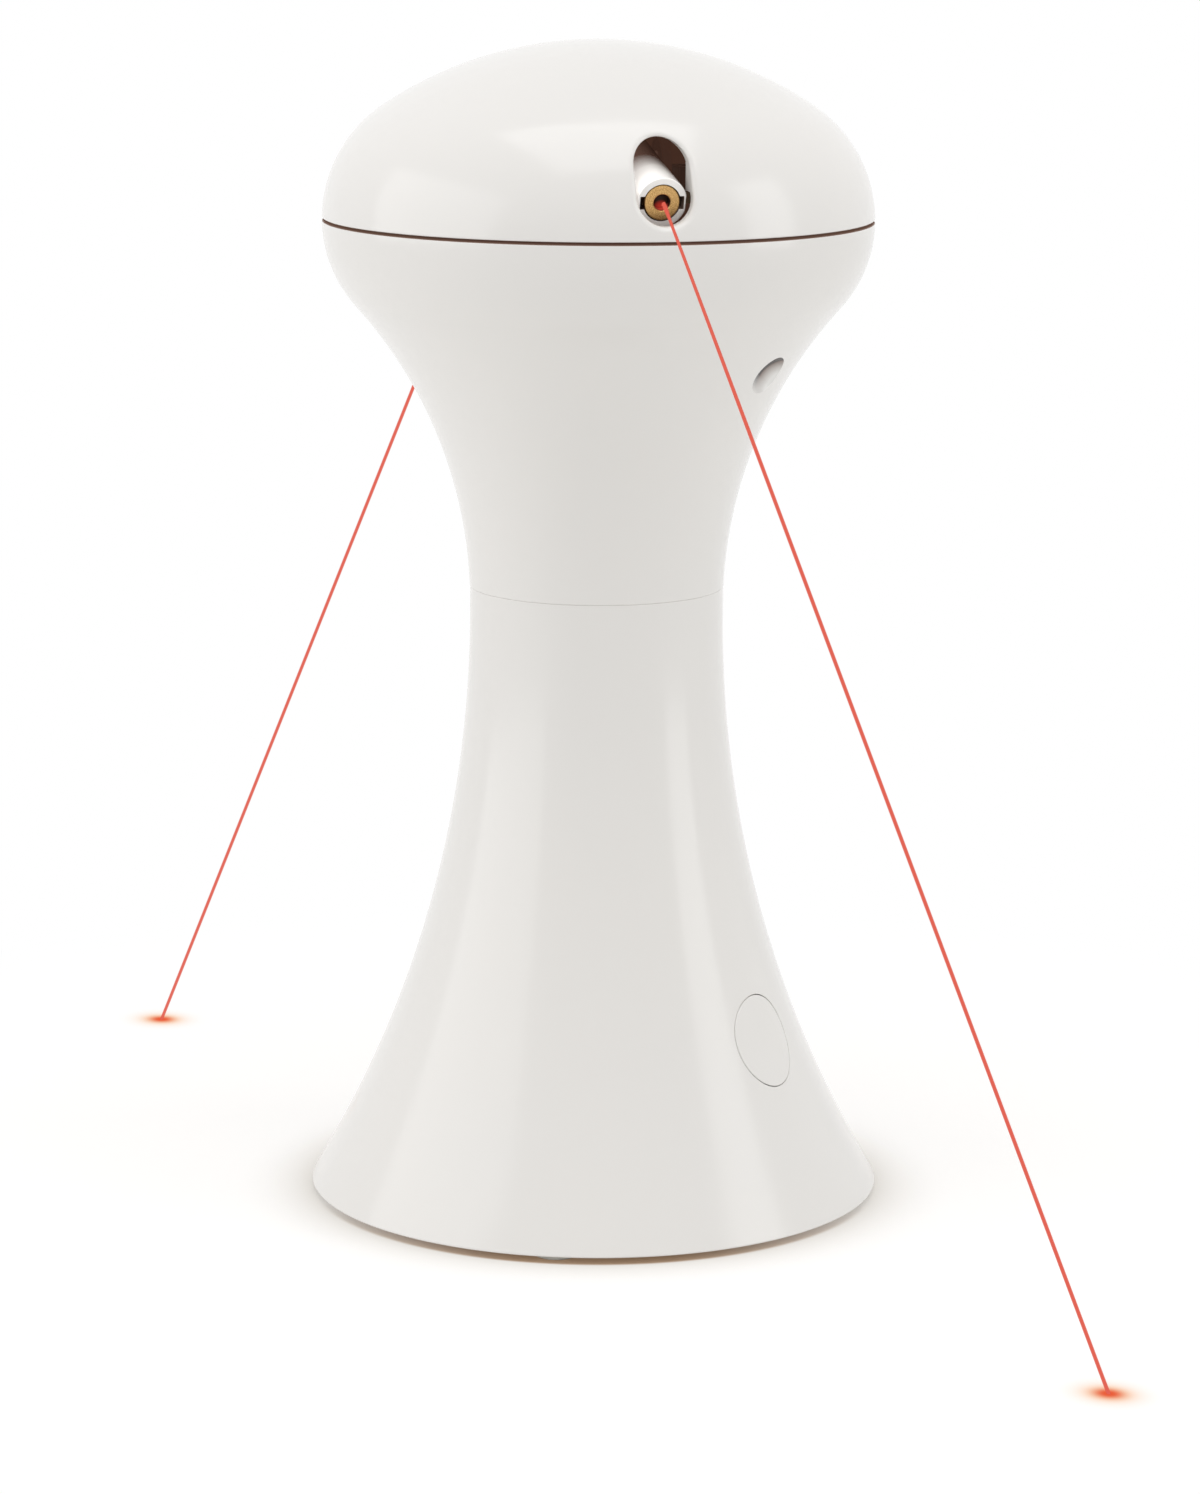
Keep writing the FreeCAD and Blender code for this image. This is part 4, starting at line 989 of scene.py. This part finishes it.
def barrel(side):
    skin = Skin()
    lathe = barrel_lathe(skin)
    outline, ledge = keyed(seat_radius), keyed(module_radius)
    tail, bore = matched(outline, barrel_radius), matched(outline, module_radius)
    rolls = []
    for turn in quarter(roll_steps)[::-1]:
        places = matched(outline, barrel_radius - barrel_roll * (1 - math.cos(turn)))
        rolls.append((places, barrel_roll * (1 - math.sin(turn)), math.cos(turn), -math.sin(turn)))
    lathe.turn([(outline, 0, 0, -1), (matched(outline, barrel_radius - barrel_roll), 0, 0, -1)])
    lathe.turn(rolls + [(tail, barrel_length, 1, 0)])
    lathe.turn([(tail, barrel_length, 0, 1), (bore, barrel_length, 0, 1)])
    for run in (
        [(ledge, seat_depth, 0, -1), (outline, seat_depth, 0, -1)],
        [(bore, key_depth, 0, -1), (ledge, key_depth, 0, -1)],
        [(bore, barrel_length, -1, 0), (bore, key_depth, -1, 0)],
    ):
        lathe.turn(run, finish=1)
    outline_walls(skin, outline, 0, seat_depth)
    outline_walls(skin, ledge, seat_depth, key_depth)
    return skin.object(f"{side}_barrel", barrel_white, brown_seat, matrix=aims[side])


# %% [markdown]
# Two short pins, the trunnions, stand out of the barrel's sides at its balance point and carry it in its
# cradle. They turn about the pivot's own axis, across the barrel, so the lathe is laid along X.

# %% The trunnions
trunnion_radius = 1.5
trunnion_end = 6.8
trunnion_root = 0.4
trunnion_spokes = 40
# The pins are painted brown shade, with a faint glow of painted light.
pins_in_painted_shade = brown("pins_in_painted_shade", rgb(112, 88, 76), rgb(98, 76, 66), 1500, 0.45, rgb(58, 40, 32))


def trunnions(side):
    skin = Skin()
    lathe = Lathe(skin, ((0, 1, 0), (0, 0, 1), (1, 0, 0)), Vector((0, pivot_depth, 0)), trunnion_spokes)
    for sign in (-1, 1):
        start, end = sorted((sign * (barrel_radius - trunnion_root), sign * trunnion_end))
        lathe.crisp([(0.0, start), (trunnion_radius, start), (trunnion_radius, end), (0.0, end)])
    return skin.object(f"{side}_trunnions", pins_in_painted_shade, matrix=aims[side])


barrels = on_both("laser_tube", "white_shell", barrel, trunnions)

# %% [markdown]
# The laser module is free-cutting brass, faced on a lathe and lightly blasted. The tool's fine rings, which
# are sines of the distance from the axis, shimmer round the aperture. A head a little wider than the body
# stops it in its seat. The aperture's bore is dark, and lit low down by the light inside: one soft ball
# of red is shared by the bore and the lens, so that the glow runs over both without a seam.

# %% Turned brass and the dark aperture
aperture_radius = 1.475
aperture_depth = 1.6
lens_depth = 0.8
module_length = 18.0
edge_break = 0.12
head_rim = 0.13
head_depth = 0.9
glow_place = Vector((0.25, 1.2, -1.35))
glow_reach = 1.5


def turned_brass():
    finish = Finish("turned_brass", Metallic=1.0)
    from_axis = finish.far(*finish.axes("XZ"))
    wander, grit = finish.noise(500, 2), finish.noise(5200, 3)
    rings = (from_axis * 62000 + wander * 6.0).sine() * 0.5 + 0.5
    broad = (from_axis * 9000 + finish.noise(200, 1) * 4.0).sine() * 0.5 + 0.5
    tone = (rings * 0.1 + broad * 0.14 + (grit - 0.38) * 2.3 + 0.18).clamped()
    colour = finish.blend(tone, rgb(163, 116, 62), rgb(233, 194, 131))
    finish.feed(Base_Color=colour, Roughness=0.32 + 0.16 * wander)
    finish.bump(rings, 0.000002)
    return finish.material


def red_glow(finish):
    """A soft ball of red light low in the aperture, as a mask in the barrel's own frame."""
    away = finish.vector("DISTANCE", finish.place(), glow_place * mm)
    return (1 - away / (glow_reach * mm)).clamped()


def dark_bore_finish():
    finish = Finish("dark_bore_wall", Emission_Strength=1.0)
    fine = finish.noise(2500, 3)
    finish.feed(
        Base_Color=finish.blend(fine, rgb(30, 24, 20), rgb(46, 38, 30)), Roughness=0.5 + 0.2 * fine,
        Emission_Color=finish.blend(red_glow(finish), (0, 0, 0, 1), rgb(190, 60, 46)),
    )
    return finish.material


brass, dark_bore = turned_brass(), dark_bore_finish()


def laser_module(side):
    skin = Skin()
    lathe = barrel_lathe(skin)
    deep, head = aperture_depth + lens_depth, module_radius + head_rim
    lathe.crisp([(0.0, deep), (aperture_radius, deep), (aperture_radius, edge_break)], finish=1)
    lathe.crisp([
        (aperture_radius, edge_break), (aperture_radius + edge_break, 0), (head - edge_break, 0),
        (head, edge_break), (head, head_depth), (module_radius, head_depth),
        (module_radius, module_length), (0.0, module_length),
    ])
    return skin.object(f"{side}_brass_module", brass, dark_bore, matrix=aims[side])


on_both("laser_module", "laser_brass", laser_module)

# %% [markdown]
# Deep in the aperture sits a small domed lens. When the laser is on it glows a deep red, off its middle where
# the die sits. Its front is a slice of a ball, so its facings are known exactly and the glint on it is round.

# %% The glowing lens
lens_gap = 0.03
lens_bulge = 0.35
lens_spokes = 48
lens_rings = 8


def glowing_lens():
    finish = Finish("red_lens", IOR=1.3, Roughness=0.3, Emission_Strength=1.0, Specular_IOR_Level=0.15)
    finish.feed(
        Base_Color=finish.blend(finish.noise(3000, 2), rgb(44, 32, 26), rgb(58, 42, 34)),
        Emission_Color=finish.blend(red_glow(finish), rgb(20, 10, 6), rgb(210, 58, 46)),
    )
    return finish.material


lens_red = glowing_lens()


def lens(side):
    skin = Skin()
    lathe = barrel_lathe(skin, lens_spokes)
    edge, back = aperture_radius - lens_gap, aperture_depth + lens_depth
    ball = (edge ** 2 + lens_bulge ** 2) / (2 * lens_bulge)
    front = []
    for radius in (edge * k / lens_rings for k in range(lens_rings + 1)):
        lean = math.asin(radius / ball)
        front.append((radius, aperture_depth + ball * (1 - math.cos(lean)), math.sin(lean), -math.cos(lean)))
    lathe.turn(front)
    lathe.crisp([(edge, aperture_depth + lens_bulge), (edge, back), (0.0, back)])
    return skin.object(f"{side}_lens", lens_red, matrix=aims[side])


on_both("laser_lens", "lens_glass", lens)

# %% [markdown]
# Four pale pads lift the stand a millimetre off the floor, which gives the dark line under its rim. They are
# die-cut soft rubber: a small roll at the lower edge, and a fine open grain.

# %% The foot pads
pad_rubber = grained(
    "pale_rubber", rgb(214, 212, 206), rgb(202, 200, 193), (2600, 4), (150, 2), (0.6, 0.25), 0.00004, IOR=1.45
)
pad_radius = 4.0
pad_roll = 0.3
pad_ring = rim_radius - 6.0
pad_azimuth = -21.9
pad_spokes = 64


def foot_pads():
    skin = Skin()
    for k in range(4):
        centre = around(math.radians(pad_azimuth + 90 * k))[0] * pad_ring
        pad = Lathe(skin, centre=centre, count=pad_spokes)
        run = [(0.0, 0.0, 0, -1), (pad_radius - pad_roll, 0.0, 0, -1)]
        for turn in quarter(roll_steps, 1):
            r, z = pad_radius - pad_roll + pad_roll * math.sin(turn), pad_roll * (1 - math.cos(turn))
            run.append((r, z, math.sin(turn), -math.cos(turn)))
        pad.turn(run + [(pad_radius, foot_height, 1, 0)])
        pad.crisp([(pad_radius, foot_height), (0.0, foot_height)])
    return skin.object("foot_pads", pad_rubber)


stand_in(foot_pads(), "base", "rubber_feet")

# %% [markdown]
# The works inside keep their machined shapes from the model and get the finish of their real material. Each
# has the traces of how it is made: plating with faint cloud, drawn steel with lines, sintered bronze with
# pores, a board with its tracks under green mask, cells in a plain coloured sleeve.

# %% Finishes of the works
cell_band = 0.0455
black = (0, 0, 0, 1)


def metal(name, light, dark, rough, scale, stretch=None, lift=0.00001):
    return grained(name, light, dark, (scale, 4, stretch), (120, 2), (rough, 0.18), lift, Metallic=1.0)


def moulded(name, light, dark, rough, grain):
    return grained(name, light, dark, (grain, 3), (70, 3), (rough, 0.12), 0.00002, IOR=1.5)


def cell_sleeve():
    finish = Finish("cell_sleeve", IOR=1.5)
    sleeve = finish.blend(finish.noise(300, 2), rgb(52, 62, 84), rgb(44, 54, 76))
    colour = finish.blend(finish.axes("Z")[0] > cell_band, sleeve, rgb(186, 150, 96))
    finish.feed(Base_Color=colour, Roughness=0.24 + 0.1 * finish.noise(500, 2))
    finish.bump(finish.noise(700, 2), 0.00001)
    return finish.material


def green_board(name, painted_glow=None):
    finish = Finish(name, IOR=1.5)
    lines = {"Scale": 420.0, "Mortar Size": 0.05, "Color1": black, "Color2": black, "Mortar": (1, 1, 1, 1)}
    tracks = finish.node("TexBrick", {"offset": 0.35}, {"Vector": finish.place(), **lines}, 1)
    colour = finish.blend(tracks, rgb(34, 92, 56), rgb(64, 128, 78))
    finish.feed(Base_Color=colour, Roughness=0.32 + 0.1 * finish.noise(800, 2))
    finish.bump(tracks, 0.00002)
    if painted_glow:
        finish.glow_faintly(tracks, painted_glow, 0.7)
    return finish.material


works = {
    "dark_plastic": brown_plastic,
    "gear_nylon": moulded("natural_nylon", rgb(232, 229, 216), rgb(222, 218, 203), 0.34, 1400),
    "screw_steel": metal("zinc_plate", rgb(206, 207, 210), rgb(188, 190, 196), 0.26, 900),
    "bright_steel": metal("drawn_steel", rgb(222, 222, 224), rgb(206, 206, 210), 0.2, 500, (1, 1, 0.08)),
    "motor_can": metal("motor_steel", rgb(212, 212, 214), rgb(194, 195, 198), 0.26, 700, (1, 1, 0.05)),
    "bronze": metal("sintered_bronze", rgb(176, 140, 88), rgb(150, 114, 70), 0.4, 2600, None, 0.00003),
    "copper": metal("copper_alloy", rgb(226, 166, 122), rgb(208, 146, 104), 0.22, 1200),
    "cell_wrap": cell_sleeve(),
    "circuit_board": green_board("green_circuit_board"),
    "board_parts": moulded("black_moulding", rgb(44, 44, 46), rgb(34, 34, 36), 0.4, 2200),
}
# In the head, the chassis, the board and its parts glow faintly: painted light for daylight soaking in.
in_the_head = {
    **{name: brown_chassis for name in ("head_floor", "front_cradle", "rear_cradle")},
    "head_board": green_board("green_board_in_the_head", rgb(52, 38, 30)),
    "head_board_components": brown(
        "dark_parts_in_the_head", rgb(58, 47, 41), rgb(48, 38, 33), 2200, 0.45, rgb(50, 34, 27)
    ),
}
for row in frame["record"]["subparts"]:
    if row["material_slot"] in works:
        made = frame["nodes"][row["node"]].data.materials
        made.clear()
        made.append(in_the_head.get(row["node"], works[row["material_slot"]]))
print("dressed the works in", len(works), "finishes")

# %% [markdown]
# The two red lines are light, not part of the toy: long thin cones of glow that only the camera sees.
# Straight from the lens a line would cut through the dome's brim, so it has a short faint lead from the
# aperture to a start just outside the slot. It hangs on its barrel, so it turns with the head, and runs on
# below the floor, to meet it when tilted. The floor measures its spot from an empty that looks along the
# line.

# %% The laser lines
lead_place = Vector((0.13, 0.3, -0.65))
lead_radius = 0.12
beam_start = ((0.0, 0.294), (0.9, 0.42), (3.0, 0.28))
beam_radius = 0.35
beam_full_from = 0.2
beam_overrun = 0.35
beam_spokes = 24
beam_ends = {
    "front": ((-1.42, -51.79, 187.9), (53.05, -137.65, 0)),
    "rear": ((-5.68, 51.84, 187.9), (-61.15, 136.1, 0)),
}


def beam_glow():
    finish = Finish("laser_line")
    facing = finish.node("LayerWeight", {}, {"Blend": 0.35}, "Facing")
    light = finish.node("Emission", {}, {"Color": rgb(226, 100, 84)})
    clear = finish.node("BsdfTransparent", {}, {})
    finish.show(finish.node("MixShader", {}, {0: facing, 1: light, 2: clear}))
    return finish.material


beam_material = beam_glow()


def beam(side, start, spot):
    """A line of light out of a slot and down to its spot, and the empty that looks along it."""
    start, spot = Vector(start), Vector(spot)
    way, length = (spot - start).normalized(), (spot - start).length
    across = way.orthogonal().normalized()
    up = way.cross(across)
    stations = [(aims[side] @ (lead_place * mm) / mm, lead_radius)]
    stations += [(start + way * distance, radius) for distance, radius in (
        *beam_start, (length * beam_full_from, beam_radius), (length * (1 + beam_overrun), beam_radius),
    )]
    skin = Skin()
    ways = [across * x + up * y for x, y in circle(1.0, beam_spokes)]
    skin.strips([[skin.point(middle + out * radius, out) for out in ways] for middle, radius in stations])
    line = skin.object(f"{side}_laser_line", beam_material)
    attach(line, f"{side}_laser")
    for kind in ("diffuse", "glossy", "transmission", "shadow", "volume_scatter"):
        setattr(line, f"visible_{kind}", False)
    aim = bpy.data.objects.new(f"{side}_laser_line_aim", None)
    aim.matrix_world = Matrix.LocRotScale(start * mm, (-way).to_track_quat("Z", "Y"), None)
    bpy.context.scene.collection.objects.link(aim)
    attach(aim, f"{side}_laser")
    return aim


spot_aims = [beam(side, *ends) for side, ends in beam_ends.items()]

# %% [markdown]
# The floor is white paper that fades into a white room. The camera, and gloss that mirrors the floor, see the
# paper's own shading plus a fixed share of white, so open floor is pure white and the soft shadow round the
# foot stays. A painted soft shade near the rim, and a brown line under its front, stand for light that
# bounces in a millimetre's gap, which is slow to render. Where a laser line lands, the paper glows in a
# bell-shaped spot, red in its core and amber in its halo, measured from the line's own axis.

# %% The floor
open_start, open_fade = 0.1, 0.12
shade_start, shade_fade = 0.0532, 0.015
under_rim, under_fade = 0.0535, 0.0009
front_way = (0.233, 0.972)
spot_reach = 0.0033
floor_rings = (1500.0, 600.0, 150.0, 0.0)
floor_spokes = 96


def seen_directly(tree):
    """1 for rays from the camera and from mirrors and glass, and 0 for the light that falls on things."""
    rays = [tree.node("LightPath", {}, {}, f"Is {kind} Ray")
            for kind in ("Camera", "Glossy", "Transmission")]
    return (rays[0] + rays[1] + rays[2]).clamped()


def laser_spots(finish, shown):
    """The floor's shader with a glowing spot on it under each laser line."""
    for aim in spot_aims:
        reach = finish.far(*finish.axes("XY", aim))
        glow = ((1 / (1 + (reach / spot_reach) ** 3) - 0.05) / 0.95).clamped()
        colour = finish.blend(glow * glow, rgb(246, 172, 60), rgb(233, 92, 56))
        light = finish.node("Emission", {}, {"Color": colour})
        shown = finish.node("MixShader", {}, {0: glow, 1: shown, 2: light})
    return shown


def white_floor():
    finish = Finish("white_floor")
    x, y = finish.axes("XY")
    away = finish.far(x, y)
    paper = finish.blend((away / 0.3).clamped(), rgb(243, 242, 239), rgb(245, 245, 244))
    soft = (1 - ((away - shade_start) / shade_fade).clamped()) ** 2
    front = (0 - (x * front_way[0] + y * front_way[1]) / away * 1.5 - 0.45).clamped()
    under = ((under_rim - away) / under_fade).clamped() * front

    def shaded(open_level, soft_level, under_level):
        return finish.blend(under, finish.blend(soft, open_level, soft_level), under_level)

    tone = shaded((0.62, 0.605, 0.59, 1), (0.5, 0.48, 0.45, 1), (0.36, 0.27, 0.2, 1))
    lift = shaded((0.46, 0.46, 0.46, 1), (0.375, 0.365, 0.35, 1), (0.16, 0.1, 0.06, 1))
    lit = finish.node("BsdfDiffuse", {}, {"Color": tone})
    lifted = finish.node("Emission", {}, {"Color": lift})
    near = finish.node("AddShader", {}, {0: lit, 1: lifted})
    far = finish.node("Emission", {}, {"Color": (1, 1, 1, 1)})
    open_floor = ((away - open_start) / open_fade).clamped()
    shown = laser_spots(finish, finish.node("MixShader", {}, {0: open_floor, 1: near, 2: far}))
    plain = finish.node("BsdfDiffuse", {}, {"Color": paper})
    finish.show(finish.node("MixShader", {}, {0: seen_directly(finish), 1: plain, 2: shown}))
    return finish.material


floor_skin = Skin()
Lathe(floor_skin, count=floor_spokes).crisp([(radius, 0) for radius in floor_rings])
floor_skin.object("floor", white_floor())

# %% [markdown]
# The room is a plain white world. It shows as pure white to the camera and in gloss, and lights the toy at a
# lower level, so that the lamps can still shape it.

# %% The room
room_level = 0.62
world = bpy.data.worlds.new("white_room")
bpy.context.scene.world = world
room = Tree(world, "Background")
room.shader.inputs["Color"].default_value = (1, 1, 1, 1)
room.feed(Strength=room_level + (1 - room_level) * seen_directly(room))
print("the room lights the toy at", room_level)

# %% [markdown]
# Large softboxes light the toy: a wide one at the left and a narrow one at the right draw two soft upright
# streaks down the stand, and one overhead lifts the crown. Their levels are plain, so a colour renders about
# as it is written. The barrels lie in the dome's shade, so a fill lamp high at the left is linked to them
# alone.

# %% The lamps
def softbox(name, place, aim_height, width, height, power):
    data = bpy.data.lights.new(name, "AREA")
    data.shape = "RECTANGLE"
    data.size, data.size_y, data.energy = width, height, power
    lamp = bpy.data.objects.new(name, data)
    lamp.location = place
    lamp.rotation_euler = (Vector((0, 0, aim_height)) - Vector(place)).to_track_quat("-Z", "Y").to_euler()
    bpy.context.scene.collection.objects.link(lamp)
    lamp.visible_camera = False
    print(f"{name}: {power} W")
    return lamp


softbox("left_softbox", (-1.1, -0.05, 0.35), 0.11, 1.3, 1.0, 4.3)
softbox("right_softbox", (0.87, -0.49, 0.3), 0.11, 0.42, 1.0, 2.2)
softbox("top_softbox", (0.0, -0.15, 0.95), 0.1, 0.7, 0.7, 2.4)
fill = softbox("barrel_fill", (-0.8, -0.3, 0.75), 0.19, 0.7, 0.7, 11.0)
lit_by_fill = bpy.data.collections.new("lit_by_the_fill")
for piece in barrels:
    lit_by_fill.objects.link(piece)
fill.light_linking.receiver_collection = lit_by_fill
fill.light_linking.blocker_collection = lit_by_fill

# %% [markdown]
# The camera stands a little above the toy and to its left, looking slightly down through a long lens, which
# keeps the upright lines calm. It turns about the toy's own axis, so its azimuth is one plain angle. The lens
# is given on the frame's long side, which is upright here.

# %% The camera
camera_data = bpy.data.cameras.new("camera")
camera_data.lens = 115.16
camera_data.sensor_width = 36
camera_data.shift_x = 0.00285
camera = bpy.data.objects.new("camera", camera_data)
bpy.context.scene.collection.objects.link(camera)
bpy.context.scene.camera = camera
distance, height = 0.86667, 0.25735
turn, pitch, roll = math.radians(-13.85), math.radians(-11.367), math.radians(0.304)
camera.matrix_world = (
    Matrix.Rotation(turn, 4, "Z") @ Matrix.Translation((0, -distance, height))
    @ Matrix.Rotation(math.pi / 2 + pitch, 4, "X") @ Matrix.Rotation(roll, 4, "Z")
)
bpy.context.scene.view_settings.view_transform = "Standard"
print(f"the camera is {distance:.3f} m away and {height:.3f} m up")
